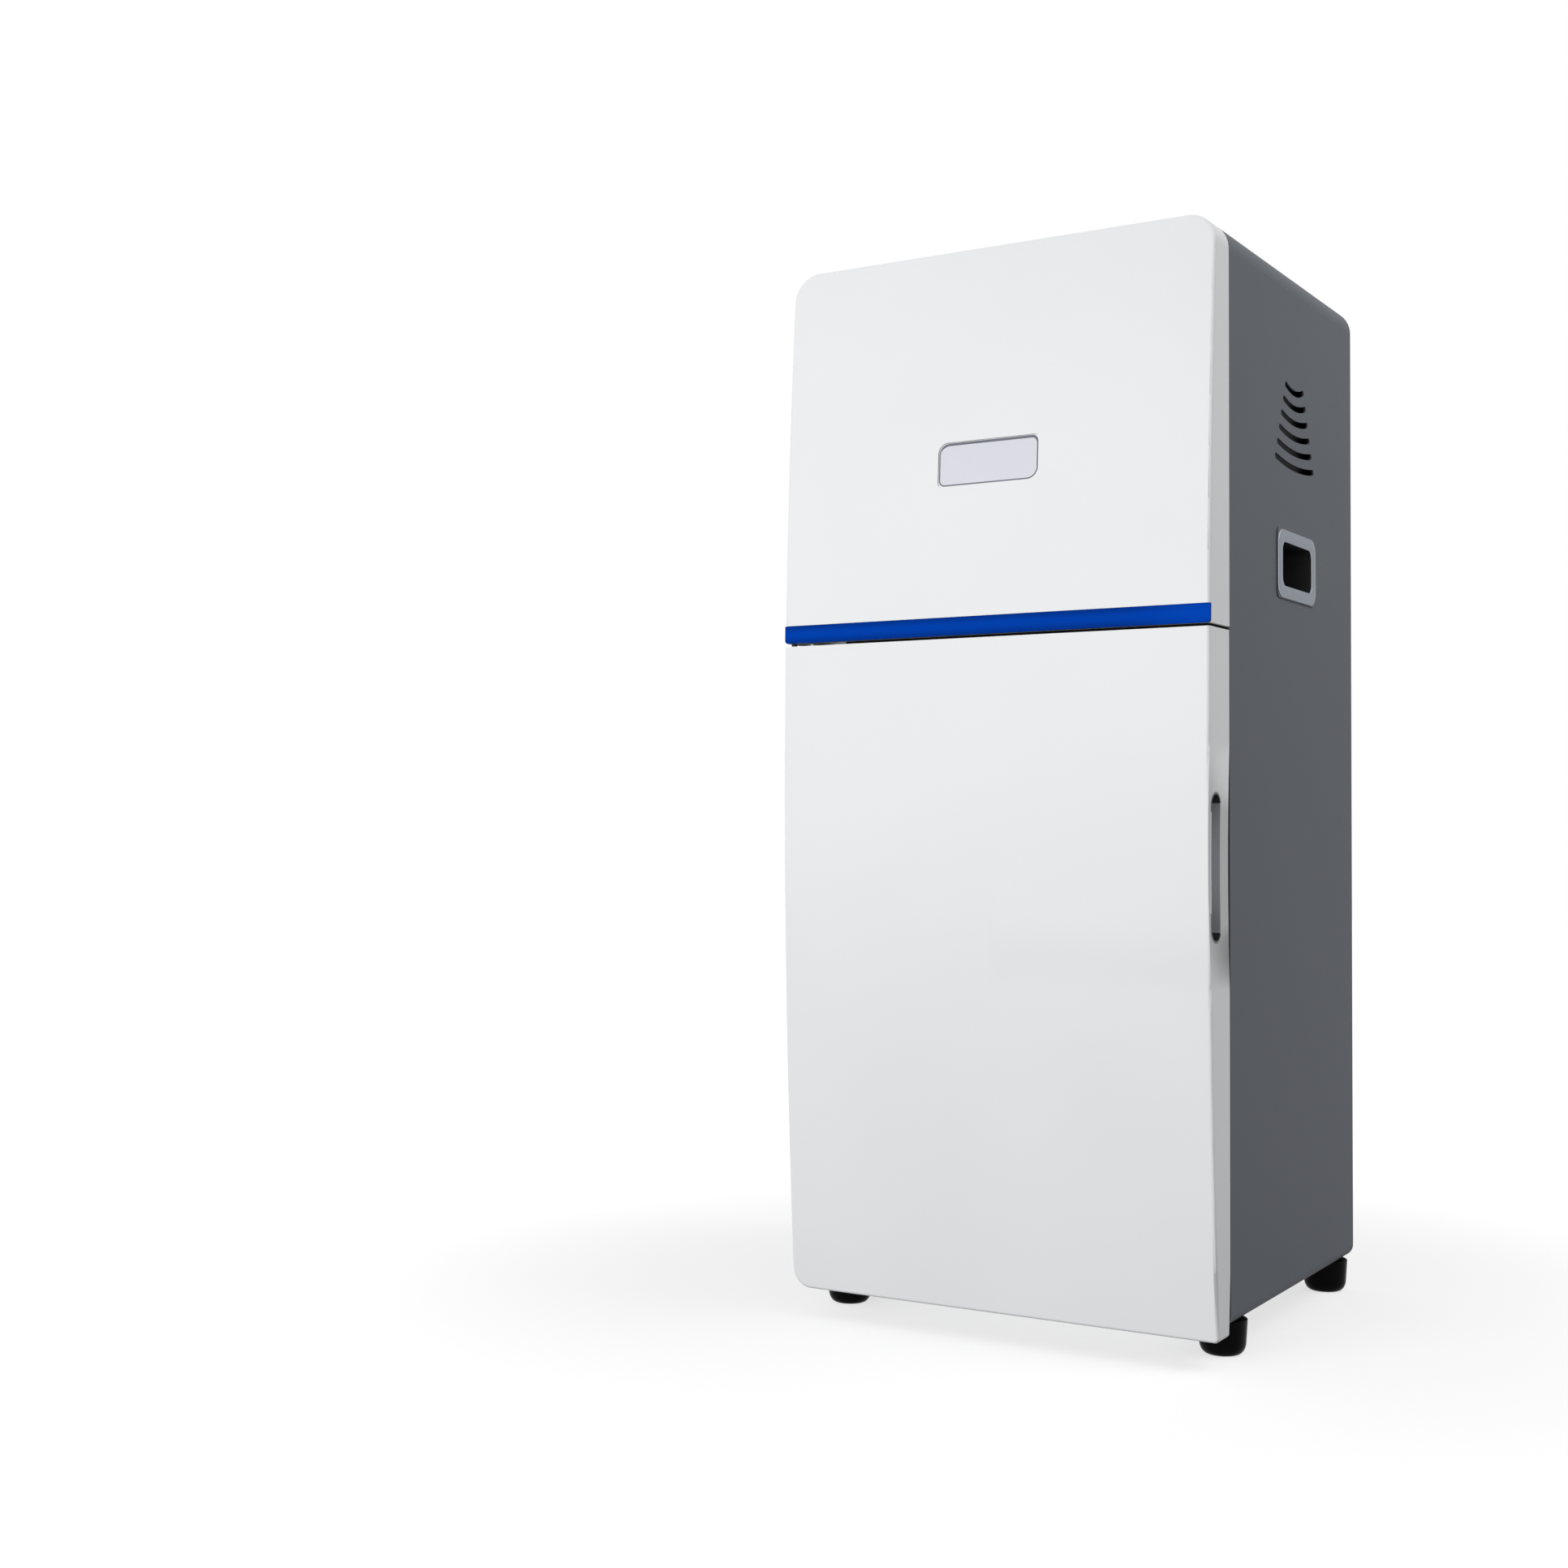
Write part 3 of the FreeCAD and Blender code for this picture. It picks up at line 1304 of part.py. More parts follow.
def usb_port():
    block = usb_block(0, board_plane_y(), service_y)
    centre = block.BoundBox.Center
    cavity = slab("y", service_y - 9, service_y + 1, centre.x - 4.25, centre.x + 4.25,
                  centre.z - 3.9, centre.z + 3.9, [0, 0, 1.6, 1.6])
    tongue = box(centre.x - 2.8, centre.x + 2.8, service_y - 10, service_y - 1,
                 centre.z - 1.6, centre.z + 1.6)
    return fused([block.cut(cavity), tongue])


def socket_z():
    return inlet_centre_z - inlet_half_height + 5 + socket_half_height


def rocker_z():
    return inlet_centre_z + inlet_half_height - 6 - rocker_half_height


def power_inlet():
    x, z = inlet_centre_x, inlet_centre_z
    wide, tall = inlet_half_width - slip, inlet_half_height - slip
    body = slab("y", service_y - inlet_depth, service_y, x - wide, x + wide, z - tall, z + tall, 1)
    wide, tall = inlet_half_width + 3, inlet_half_height + 3
    flange = slab("y", service_y, service_y + inlet_flange, x - wide, x + wide, z - tall, z + tall, 3)
    inlet = fused([body, flange])
    cavity = prism("y", service_y + inlet_flange - socket_depth, service_y + inlet_flange + 1,
                   [(x - socket_half_width, socket_z() - socket_half_height),
                    (x + socket_half_width, socket_z() - socket_half_height),
                    (x + socket_half_width, socket_z() + socket_half_height),
                    (x - socket_half_width, socket_z() + socket_half_height)], [1, 1, 5, 5])
    well = slab("y", service_y + inlet_flange - 12, service_y + inlet_flange + 1,
                x - rocker_half_width - slip, x + rocker_half_width + slip,
                rocker_z() - rocker_half_height - slip, rocker_z() + rocker_half_height + slip, 0.5)
    pin_y, pin_z = rocker_axis()
    reach = rocker_half_width + rocker_pin_reach + slip
    pin_hole = rod("x", pin_y, pin_z, x - reach, x + reach, rocker_pin_radius + pin_clearance)
    inlet = cut_all(inlet, [cavity, well, pin_hole])
    blades = []
    for dx, dz in ((-7.0, -3.0), (7.0, -3.0), (0.0, 3.0)):
        blades.append(box(x + dx - 1, x + dx + 1, service_y + inlet_flange - socket_depth - 1, service_y - 1,
                          socket_z() + dz - 2, socket_z() + dz + 2))
    return fused([inlet] + blades)


def rocker_axis():
    return service_y + inlet_flange - 5.0, rocker_z()


def power_rocker():
    """Rocker pressed in at its lower end; it tips about a cross axis."""
    y, z = rocker_axis()
    tilt = math.radians(8)
    high = inlet_flange + 1.2
    corners = [(y - 1.5, z - 5), (y + 4.2, z - rocker_half_height + 1.0), (y + 5.0, z),
               (y + 4.2, z + rocker_half_height - 1.0), (y - 1.5, z + 5)]
    rocker = prism("x", inlet_centre_x - rocker_half_width, inlet_centre_x + rocker_half_width,
                   corners, [1.5, 0.8, 20, 0.8, 1.5])
    rocker = rocker.rotated(V(inlet_centre_x, y, z), V(1, 0, 0), math.degrees(tilt))
    reach = rocker_half_width + rocker_pin_reach
    return rocker.fuse(rod("x", y, z, inlet_centre_x - reach, inlet_centre_x + reach, rocker_pin_radius))


# Carry cups

def cup():
    """Right-hand cup with a thin seat that lies on the shell round its mouth."""
    outer = cup_rect(cup_wall, half_width - cup_depth, half_width, cup_radius + cup_wall)
    seat = cup_rect(cup_band + cup_seat_margin, half_width, half_width + cup_seat, cup_seat_radius)
    inner = cup_rect(0, half_width - cup_depth + cup_wall, half_width + cup_seat + 1, cup_radius)
    return fused([outer, seat]).cut(inner)


def cup_bezel():
    low = half_width + cup_seat
    high = low + bezel_thickness
    outer = cup_rect(cup_band, low, high, bezel_radius)
    rim = [edge for edge in outer.Edges if all(abs(v.X - high) < 0.01 for v in edge.Vertexes)]
    outer = outer.makeFillet(bezel_thickness * 0.6, rim)
    return outer.cut(cup_rect(0, low - 1, high + 1, cup_radius))


def both_sides(shape):
    return [shape, mirrored(shape)]


def build():
    os.makedirs("parts", exist_ok=True)
    save("outer_shell", outer_shell())
    save("vent_screens", both_sides(vent_screen()))
    save("base_plate", base_plate())
    save("feet", [foot(x, y) for x, y in foot_places()])
    save("foot_fasteners", [piece for x, y in foot_places() for piece in foot_fastener(x, y)])
    save("rear_panel", rear_panel())
    save("service_plate", service_plate())
    save("rear_screws", rear_screws())
    save("front_frame", front_frame())
    save("upper_front_panel", upper_front_panel())
    save("blue_trim_strip", blue_trim_strip())
    save("status_window", status_window())
    save("status_light_board", status_light_board())
    save("door_skin", door_skin())
    save("door_inner_panel", door_inner_panel())
    save("door_seal", door_seal())
    save("grip_insert", grip_insert())
    save("hinge_bushes", hinge_bushes())
    save("hinge_bracket_bottom", hinge_bracket_bottom())
    save("hinge_bracket_top", hinge_bracket_top())
    save("hinge_bracket_screws", bracket_screws())
    save("magnet_catch", magnet_catch())
    save("strike_plate", strike_plate())
    save("door_buffer", door_buffer())
    save("chamber_left_wall", chamber_wall())
    save("chamber_right_wall", mirrored(chamber_wall()))
    save("chamber_back_wall", chamber_back_wall())
    save("chamber_floor", chamber_floor())
    save("camera_deck", camera_deck())
    save("lens_collar", lens_collar())
    save("tray_rails", [piece for level in rail_levels for piece in both_sides(tray_rail(level))])
    save("sample_tray", sample_tray())
    save("led_bars", both_sides(led_bar()))
    save("led_diffusers", both_sides(led_diffuser()))
    save("filter_wheel", filter_wheel())
    save("filters", filters())
    save("wheel_axle", wheel_axle())
    save("drive_pinion", drive_pinion())
    save("motor_shaft", motor_shaft())
    save("motor_bracket", motor_bracket())
    save("wheel_motor", wheel_motor())
    save("lens_barrel", lens_barrel())
    iris_low, focus_low = ring_levels()
    save("iris_ring", grip_ring(iris_low, iris_height, lens_radius, 20))
    save("focus_ring", grip_ring(focus_low, ring_height, lens_radius + 1, 24))
    save("lens_glass", lens_glass())
    save("camera_bridge", camera_bridge())
    save("camera_body", camera_body())
    save("heat_sink", heat_sink())
    save("camera_fan_frame", fan_frame("z", 0, lens_y, small_fan_z, small_fan_size, small_fan_depth))
    save("camera_fan_rotor", fan_rotor("z", 0, lens_y, small_fan_z + 3 + slip,
                                       small_fan_z + small_fan_depth - 1, small_fan_size, small_blade_count))
    save("power_supply", power_supply())
    save("controller_board", controller_board())
    save("usb_port", usb_port())
    save("power_inlet", power_inlet())
    save("power_rocker", power_rocker())
    fan_low = panel_front_y - fan_depth
    save("exhaust_fan_frame", fan_frame("y", fan_centre_x, fan_centre_z, fan_low, fan_size, fan_depth))
    save("exhaust_fan_rotor", fan_rotor("y", fan_centre_x, fan_centre_z, fan_low + 3 + slip,
                                        panel_front_y - 1, fan_size, blade_count))
    save("fan_guard", fan_guard())
    save("handle_cups", both_sides(cup()))
    save("handle_bezels", both_sides(cup_bezel()))


build()
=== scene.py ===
"""Finishes, small modelled pieces, stage and camera for a free-standing imaging cabinet.

Metres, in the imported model's frame: +Z up, the door towards -Y, the floor at Z = 0.
"""

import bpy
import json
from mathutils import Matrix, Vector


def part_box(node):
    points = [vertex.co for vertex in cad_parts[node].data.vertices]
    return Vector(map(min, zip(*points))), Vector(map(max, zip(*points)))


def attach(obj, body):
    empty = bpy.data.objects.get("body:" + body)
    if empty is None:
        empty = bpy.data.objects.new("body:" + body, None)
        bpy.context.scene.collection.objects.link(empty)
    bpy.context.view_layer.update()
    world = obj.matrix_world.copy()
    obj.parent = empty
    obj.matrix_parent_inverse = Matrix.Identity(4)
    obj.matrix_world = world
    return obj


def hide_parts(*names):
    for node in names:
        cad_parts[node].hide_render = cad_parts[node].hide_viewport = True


bl_info = {
    "name": "Imaging cabinet looks",
    "version": (1, 0, 0),
    "blender": (4, 5, 0),
    "location": "3D View > Sidebar > Cabinet",
    "description": "Dresses the imaging cabinet and sets its studio",
    "category": "Object",
}

import json
import math

import bmesh
import bpy
from mathutils import Matrix, Vector

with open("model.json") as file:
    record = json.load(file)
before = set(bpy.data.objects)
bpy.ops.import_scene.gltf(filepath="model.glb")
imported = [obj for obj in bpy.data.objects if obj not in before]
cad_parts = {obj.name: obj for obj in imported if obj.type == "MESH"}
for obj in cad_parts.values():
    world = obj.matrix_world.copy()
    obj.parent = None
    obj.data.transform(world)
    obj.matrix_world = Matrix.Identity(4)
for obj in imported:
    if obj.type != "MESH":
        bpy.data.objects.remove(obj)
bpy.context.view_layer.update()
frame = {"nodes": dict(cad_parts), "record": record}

MM = 0.001
Y, Z = 1, 2

HOLLOW_SLOPE = 0.55
STRIP_SHEEN = 0.004
# Black painted into the grip pocket's shaded ends, as painted shadow.
GRIP_SHADOW_BLACK = (0.006, 0.006, 0.007)
# Dark line painted round the status window, as the shadow of its rebate.
WINDOW_SHADOW_LINE = (0.04, 0.045, 0.08)
MARK_WHITE = (0.8, 0.8, 0.8)
SHANK_RADIUS = 2.0 * MM


# Shader maths


class Value:
    """A shader value. Used in an expression, it adds its own Math nodes."""

    def __init__(self, finish, socket):
        self.finish = finish
        self.socket = socket

    def math(self, operation, *terms):
        return self.finish.value("ShaderNodeMath", {"operation": operation}, dict(enumerate(terms)))

    def __add__(self, other):
        return self.math("ADD", self, other)

    def __radd__(self, other):
        return self.math("ADD", other, self)

    def __sub__(self, other):
        return self.math("SUBTRACT", self, other)

    def __rsub__(self, other):
        return self.math("SUBTRACT", other, self)

    def __mul__(self, other):
        return self.math("MULTIPLY", self, other)

    def __rmul__(self, other):
        return self.math("MULTIPLY", other, self)

    def __truediv__(self, other):
        return self.math("DIVIDE", self, other)

    def __abs__(self):
        return self.math("ABSOLUTE", self)

    def __pow__(self, other):
        return self.math("POWER", self, other)

    def larger(self, other):
        return self.math("MAXIMUM", self, other)

    def comb(self, pitch):
        """Ridges that peak at 1 once every pitch."""
        return self.math("COSINE", self * (2 * math.pi / pitch)) * 0.5 + 0.5

    def step(self, low, high):
        """0 below low, 1 above high, with a soft ramp between."""
        return self.finish.value("ShaderNodeMapRange", {"interpolation_type": "SMOOTHSTEP"},
                                 {"Value": self, "From Min": low, "From Max": high})


class Finish:
    """Node tree of one material."""

    def __init__(self, name):
        self.material = bpy.data.materials.new(name)
        self.material.use_nodes = True
        self.tree = self.material.node_tree
        self.tree.nodes.clear()
        self.coordinates = None

    def node(self, kind, settings=None, sockets=None):
        """Any node: its settings are set first, then its sockets by value or link."""
        node = self.tree.nodes.new(kind)
        for name, setting in (settings or {}).items():
            setattr(node, name, setting)
        for key, term in (sockets or {}).items():
            if isinstance(term, Value):
                self.tree.links.new(term.socket, node.inputs[key])
            elif term is not None:
                node.inputs[key].default_value = term
        return node

    def value(self, kind, settings=None, sockets=None, output=0):
        return Value(self, self.node(kind, settings, sockets).outputs[output])

    def where(self):
        """Object coordinates, in metres."""
        if self.coordinates is None:
            self.coordinates = self.value("ShaderNodeTexCoord", output="Object")
        return self.coordinates

    def axes(self):
        split = self.node("ShaderNodeSeparateXYZ", sockets={0: self.where()})
        return [Value(self, output) for output in split.outputs]

    def stretched(self, scale):
        return self.value("ShaderNodeMapping", sockets={"Vector": self.where(), "Scale": scale})

    def cloud(self, size, detail=2.0, stretch=None):
        """Soft noise round 0.5, with features of a size in metres."""
        place = self.stretched(stretch) if stretch else self.where()
        return self.value("ShaderNodeTexNoise", None,
                          {"Vector": place, "Scale": 1 / size, "Detail": detail, "Roughness": 0.55})

    def specks(self, spacing, radius):
        """1 in small round dots scattered at a spacing, else 0."""
        far = self.value("ShaderNodeTexVoronoi", {"feature": "F1"},
                         {"Vector": self.where(), "Scale": 1 / spacing}, output="Distance")
        return 1 - far.step(radius / spacing * 0.6, radius / spacing)

    def tint(self, share, first, second):
        """Colour between two, by a share."""
        mix = self.node("ShaderNodeMix", {"data_type": "RGBA"})
        for key, term in ((0, share), (6, first), (7, second)):
            if isinstance(term, Value):
                self.tree.links.new(term.socket, mix.inputs[key])
            elif key == 0:
                mix.inputs[key].default_value = term
            else:
                mix.inputs[key].default_value = tuple(term[:3]) + (1.0,)
        return Value(self, mix.outputs[2])

    def bump(self, height, depth, under=None):
        """Normal of a relief whose height of 1 stands this deep, in metres."""
        return self.value("ShaderNodeBump", None, {"Height": height, "Distance": depth,
                                                   "Strength": 1.0, "Normal": under})

    def surface(self, colour, roughness, normal=None, **constants):
        """Shader and output. Constants are its own sockets, with _ for a space."""
        sockets = {"Base Color": colour if isinstance(colour, Value) else tuple(colour[:3]) + (1.0,),
                   "Roughness": roughness, "Normal": normal}
        for name, constant in constants.items():
            sockets[name.replace("_", " ").title().replace("Ior", "IOR")] = constant
        shader = self.node("ShaderNodeBsdfPrincipled", None, sockets)
        output = self.node("ShaderNodeOutputMaterial")
        self.tree.links.new(shader.outputs[0], output.inputs[0])
        return self.material


def shade(colour, factor):
    return tuple(min(part * factor, 1.0) for part in colour[:3])


# Finishes


def powder_coat(name, colour, roughness=0.46, peel=1.3 * MM, gloss=0.5):
    """Baked powder paint: orange-peel relief, faint mottle and settled dust."""
    f = Finish(name)
    broad = f.cloud(0.11, 3.0)
    fine = f.cloud(peel, 1.0)
    dust = f.specks(9 * MM, 0.22 * MM) * f.cloud(0.05).step(0.45, 0.7)
    base = f.tint(broad.step(0.3, 0.7), shade(colour, 0.96), shade(colour, 1.04))
    base = f.tint(fine.step(0.35, 0.75) * 0.25, base, shade(colour, 1.12))
    base = f.tint(dust * 0.3, base, (0.6, 0.6, 0.58))
    rough = broad * 0.08 + fine * 0.06 + (roughness - 0.07)
    return f.surface(base, rough, f.bump(fine, 0.00005), specular_ior_level=gloss)


def moulded(name, colour, roughness=0.38, grain=0.5 * MM, depth=0.000012, gloss=0.5, relief=None):
    """Moulded plastic: fine spark grain, slow tone drift, a few dust specks.

    A relief makes a broad height in metres from the finish, under the same grain.
    """
    f = Finish(name)
    drift = f.cloud(0.2, 2.0)
    fine = f.cloud(grain, 1.0)
    dust = f.specks(14 * MM, 0.2 * MM) * f.cloud(0.06).step(0.5, 0.75)
    dust_tone = shade(colour, 0.6) if max(colour) > 0.3 else (0.3, 0.3, 0.29)
    base = f.tint(drift.step(0.3, 0.7), shade(colour, 0.985), shade(colour, 1.015))
    base = f.tint(dust * 0.25, base, dust_tone)
    rough = drift * 0.07 + fine * 0.04 + (roughness - 0.055)
    normal = f.bump(fine, depth)
    if relief:
        normal = f.bump(relief(f), 1.0, under=normal)
    return f.surface(base, rough, normal, specular_ior_level=gloss)


def grip_hollow(f):
    """Height that turns the door's free side forwards round the grip."""
    x, y, z = f.axes()
    (_, _, low), (_, _, high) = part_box("grip_insert")
    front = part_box("door_skin")[0].y
    middle, reach = (low + high) / 2, (high - low) / 2
    near_grip = 1 - abs(z - middle).step(reach - 12 * MM, reach + 34 * MM)
    return (y - front) * near_grip * x.step(0.0, 10 * MM) * HOLLOW_SLOPE


def sheet_metal(name, colour, roughness=0.34, spangle=0.06):
    """Plated or rolled sheet: cloudy spangle and fine roll lines."""
    f = Finish(name)
    cell = f.value("ShaderNodeTexVoronoi", {"feature": "F1"},
                   {"Vector": f.where(), "Scale": 1 / (14 * MM), "Randomness": 1.0}, output="Color")
    flake = f.value("ShaderNodeRGBToBW", None, {0: cell})
    lines = f.cloud(0.5 * MM, 2.0, (1.0, 1.0, 0.04))
    broad = f.cloud(0.06, 3.0)
    base = f.tint(flake * spangle * 4 + broad * 0.2, shade(colour, 1.06), shade(colour, 0.86))
    base = f.tint(broad.step(0.55, 0.8) * 0.35, base, (colour[0] * 0.95, colour[1] * 0.93, colour[2] * 0.86))
    rough = flake * spangle + lines * 0.08 + broad * 0.1 + (roughness - 0.11)
    return f.surface(base, rough, f.bump(lines, 0.000008), metallic=1.0)


def brushed(name, colour, roughness=0.3, along=(0.03, 1.0, 1.0), depth=0.000012):
    """Metal brushed or drawn along one axis."""
    f = Finish(name)
    hair = f.cloud(0.35 * MM, 2.0, along)
    broad = f.cloud(0.05, 3.0)
    base = f.tint(hair.step(0.3, 0.7), shade(colour, 0.93), shade(colour, 1.05))
    rough = hair * 0.14 + broad * 0.08 + (roughness - 0.11)
    return f.surface(base, rough, f.bump(hair, depth), metallic=1.0)


def soft_rubber(name, colour):
    """Rubber with a dull bloom and fine pores."""
    f = Finish(name)
    bloom = f.cloud(0.03, 4.0)
    pores = f.specks(1.6 * MM, 0.16 * MM)
    base = f.tint(bloom.step(0.45, 0.75), colour, shade(colour, 2.2))
    rough = bloom * 0.2 + 0.62
    return f.surface(base, rough, f.bump(bloom * 0.4 - pores, 0.00003))


def dark_paint(name, colour):
    """Matt light-absorbing black with faint handling marks."""
    f = Finish(name)
    haze = f.cloud(0.08, 4.0)
    fine = f.cloud(0.7 * MM, 1.0)
    base = f.tint(haze.step(0.4, 0.8), colour, shade(colour, 1.7))
    rough = haze * 0.15 + fine * 0.1 + 0.58
    return f.surface(base, rough, f.bump(fine, 0.00003))


def anodised(name, colour, roughness=0.34):
    """Dyed anodised aluminium with turning marks."""
    f = Finish(name)
    fine = f.cloud(0.3 * MM, 1.0, (1.0, 1.0, 3.0))
    broad = f.cloud(0.04, 3.0)
    base = f.tint(broad.step(0.3, 0.75), shade(colour, 0.9), shade(colour, 1.35))
    rough = fine * 0.1 + broad * 0.08 + (roughness - 0.09)
    return f.surface(base, rough, f.bump(fine, 0.00001), metallic=0.75)


def clear_glass(name, colour, coat):
    """Tinted optical glass with a coating sheen and a dusty edge."""
    f = Finish(name)
    smear = f.cloud(0.012, 3.0)
    base = f.tint(smear.step(0.4, 0.7) * 0.3, colour, shade(colour, 0.7))
    rough = smear.step(0.5, 0.8) * 0.05 + 0.03
    return f.surface(base, rough, coat_weight=coat, coat_roughness=0.04, alpha=0.8, ior=1.52)


def circuit_board(name, colour):
    """Solder mask with fine tracks and pads; what stands on the board is black or bright."""
    f = Finish(name)
    x, y, z = f.axes()
    (left, _, _), (_, far, _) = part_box("controller_board")
    face = far - 15.6 * MM
    tall = 1 - y.step(face - 0.4 * MM, face - 0.2 * MM)
    cans = tall * x.step(left + 84 * MM, left + 84.2 * MM)
    across, along = x.comb(2.54 * MM), z.comb(2.54 * MM)
    lanes = f.cloud(7 * MM, 0.0)
    tracks = (across.step(0.86, 0.94) * lanes.step(0.5, 0.52)).larger(
        along.step(0.86, 0.94) * (1 - lanes.step(0.48, 0.5)))
    pads = (across * along).step(0.8, 0.86) * f.cloud(5 * MM, 0.0).step(0.55, 0.57)
    base = f.tint(tracks * 0.7, colour, shade(colour, 1.9))
    base = f.tint(pads, base, (0.62, 0.58, 0.45))
    base = f.tint(tall, base, (0.018, 0.018, 0.02))
    base = f.tint(cans, base, (0.55, 0.56, 0.58))
    rough = 0.34 - tracks * 0.08 - pads * 0.06
    relief = (tracks + pads) * (1 - tall)
    return f.surface(base, rough, f.bump(relief, 0.00004), coat_weight=0.2, coat_roughness=0.1)


def strip_gloss(name, colour):
    """Glossy strip with painted shade that darkens it towards its long edges, a painted highlight towards its
    right end, and fine wipe marks.
    """
    f = Finish(name)
    x, _, z = f.axes()
    (left, _, low), (right, _, high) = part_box("blue_trim_strip")
    off = abs(z - (low + high) / 2) / ((high - low) / 2)
    wipes = f.cloud(1.2 * MM, 2.0, (0.05, 1.0, 1.0))
    # Painted shade: darker towards the long edges, where the rounded strip turns from the light.
    base = f.tint(off.step(0.1, 1.0), shade(colour, 1.06), shade(colour, 0.66))
    # Painted highlight: lighter towards the right end.
    base = f.tint(x.step(left * 0.2 + right * 0.8, right) * 0.7, base, shade(colour, 1.3))
    base = f.tint(wipes.step(0.4, 0.8) * 0.1, base, shade(colour, 1.4))
    rough = wipes * 0.08 + 0.34
    return f.surface(base, rough, f.bump(wipes, 0.000004), specular_ior_level=STRIP_SHEEN)


def window_diffuser(name, colour, surround):
    """Pale diffusing plastic inside a thin dark line of painted shadow from its rebate, thicker along the
    top; white outside the line.
    """
    f = Finish(name)
    x, _, z = f.axes()
    (left, _, low), (right, _, high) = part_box("status_window")
    lip = 3.0 * MM
    wide, tall = (right - left) / 2 - lip - 0.5 * MM, (high - low) / 2 - lip - 0.5 * MM
    across, up = x - (left + right) / 2, z - (low + high) / 2
    opposite = (across * up).step(-0.000001, 0.000001)
    radius = opposite * (-4.0 * MM) + 8.5 * MM
    over_x = (abs(across) - wide + radius).larger(0.0)
    over_z = (abs(up) - tall + radius).larger(0.0)
    inside = radius - (over_x * over_x + over_z * over_z) ** 0.5
    # The dark line is painted shadow of the rebate, wider along the top where the shadow falls.
    width = up.step(tall - 6 * MM, tall - 2 * MM) * (0.9 * MM) + 0.9 * MM
    line = 1 - (inside - width).step(-0.15 * MM, 0.15 * MM)
    beyond = 1 - inside.step(-0.3 * MM, 0.0)
    cloud = f.cloud(0.02, 2.0)
    base = f.tint(cloud.step(0.3, 0.7), shade(colour, 0.92), shade(colour, 0.94))
    base = f.tint(line * 0.92, base, WINDOW_SHADOW_LINE)
    base = f.tint(beyond, base, surround)
    rough = cloud * 0.05 + 0.34
    return f.surface(base, rough, specular_ior_level=0.3)


def grip_lining(name, colour):
    """Grey pocket lining with painted shade: lighter near the front and darker towards the back, a black
    painted-shadow arch at its top and a black painted-shadow wedge at its foot.
    """
    f = Finish(name)
    _, y, z = f.axes()
    (_, near, low), (_, far, high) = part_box("grip_insert")
    fine = f.cloud(0.8 * MM, 1.0)
    across = (y - near) / (far - near)
    # Painted shadow: the arch under the pocket's top and the wedge at its foot are shade, coloured black.
    arch = (z - across * (7 * MM)).step(high - 14.5 * MM, high - 13.5 * MM)
    wedge = 1 - (z + across * (16 * MM)).step(low + 21 * MM, low + 22 * MM)
    shaded_ends = arch.larger(wedge)
    # Painted shade: lighter near the front of the pocket, darker towards its back.
    base = f.tint(across.step(0.1, 0.8), shade(colour, 2.0), shade(colour, 1.4))
    base = f.tint(shaded_ends, base, GRIP_SHADOW_BLACK)
    return f.surface(base, fine * 0.06 + 0.4 - shaded_ends * 0.1, f.bump(fine, 0.00002))


def rim_metal(name, colour):
    """Satin metal rim, brushed along its length, with a painted highlight on its rounded outer shoulders."""
    f = Finish(name)
    x, _, _ = f.axes()
    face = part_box("handle_bezels")[1].x
    level = abs(x).step(face - 0.4 * MM, face - 0.05 * MM)
    brush = f.cloud(0.6 * MM, 2.0, (1.0, 0.03, 1.0))
    base = f.tint(brush.step(0.3, 0.7), shade(colour, 0.94), shade(colour, 1.06))
    # Painted highlight: the rounded shoulders, off the flat face, are made three times as light.
    base = f.tint(level, shade(colour, 3.0), base)
    rough = brush * 0.1 + 0.37
    return f.surface(base, rough, f.bump(brush, 0.00001), metallic=1.0)


def marked_rocker(name, colour):
    """Black rocker with a white bar on one end and a white ring on the other."""
    f = Finish(name)
    x, _, z = f.axes()
    (left, _, low), (right, _, high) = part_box("power_rocker")
    middle, centre = (left + right) / 2, (low + high) / 2
    reach = (high - low) * 0.27
    aside = abs(x - middle)
    bar = (1 - aside.step(0.35 * MM, 0.5 * MM)) * (1 - abs(z - centre - reach).step(1.5 * MM, 1.65 * MM))
    away = ((x - middle) * (x - middle) + (z - centre + reach) * (z - centre + reach)) ** 0.5
    ring = 1 - abs(away - 1.3 * MM).step(0.22 * MM, 0.36 * MM)
    fine = f.cloud(0.6 * MM, 1.0)
    base = f.tint(bar.larger(ring), colour, MARK_WHITE)
    return f.surface(base, fine * 0.06 + 0.3, f.bump(fine, 0.00001))


# Pieces and their finishes

SHELL = ("outer_shell", "vent_screens", "base_plate", "rear_panel", "service_plate", "foot_fasteners",
         "handle_cups")
HEAD = ("upper_front_panel", "blue_trim_strip", "status_window", "status_light_board", "front_frame")
DOOR = ("door_skin", "door_inner_panel", "door_seal", "door_buffer", "strike_plate", "hinge_bushes",
        "hinge_bracket_bottom", "hinge_bracket_top", "magnet_catch", "grip_insert")
CHAMBER = ("chamber_left_wall", "chamber_right_wall", "chamber_back_wall", "chamber_floor", "camera_deck",
           "tray_rails", "sample_tray", "led_bars", "led_diffusers", "lens_collar")
OPTICS = ("filter_wheel", "filters", "wheel_axle", "drive_pinion", "motor_shaft", "motor_bracket",
          "wheel_motor", "lens_barrel", "iris_ring", "focus_ring", "lens_glass", "camera_bridge",
          "camera_body", "heat_sink", "camera_fan_frame")
SERVICES = ("power_supply", "controller_board", "usb_port", "power_inlet", "exhaust_fan_frame")

colours = {entry["slot"]: tuple(entry["base_color"][:3]) for entry in frame["record"]["materials"]}
slot_of = {entry["node"]: entry["material_slot"] for entry in frame["record"]["subparts"]}
made = {}


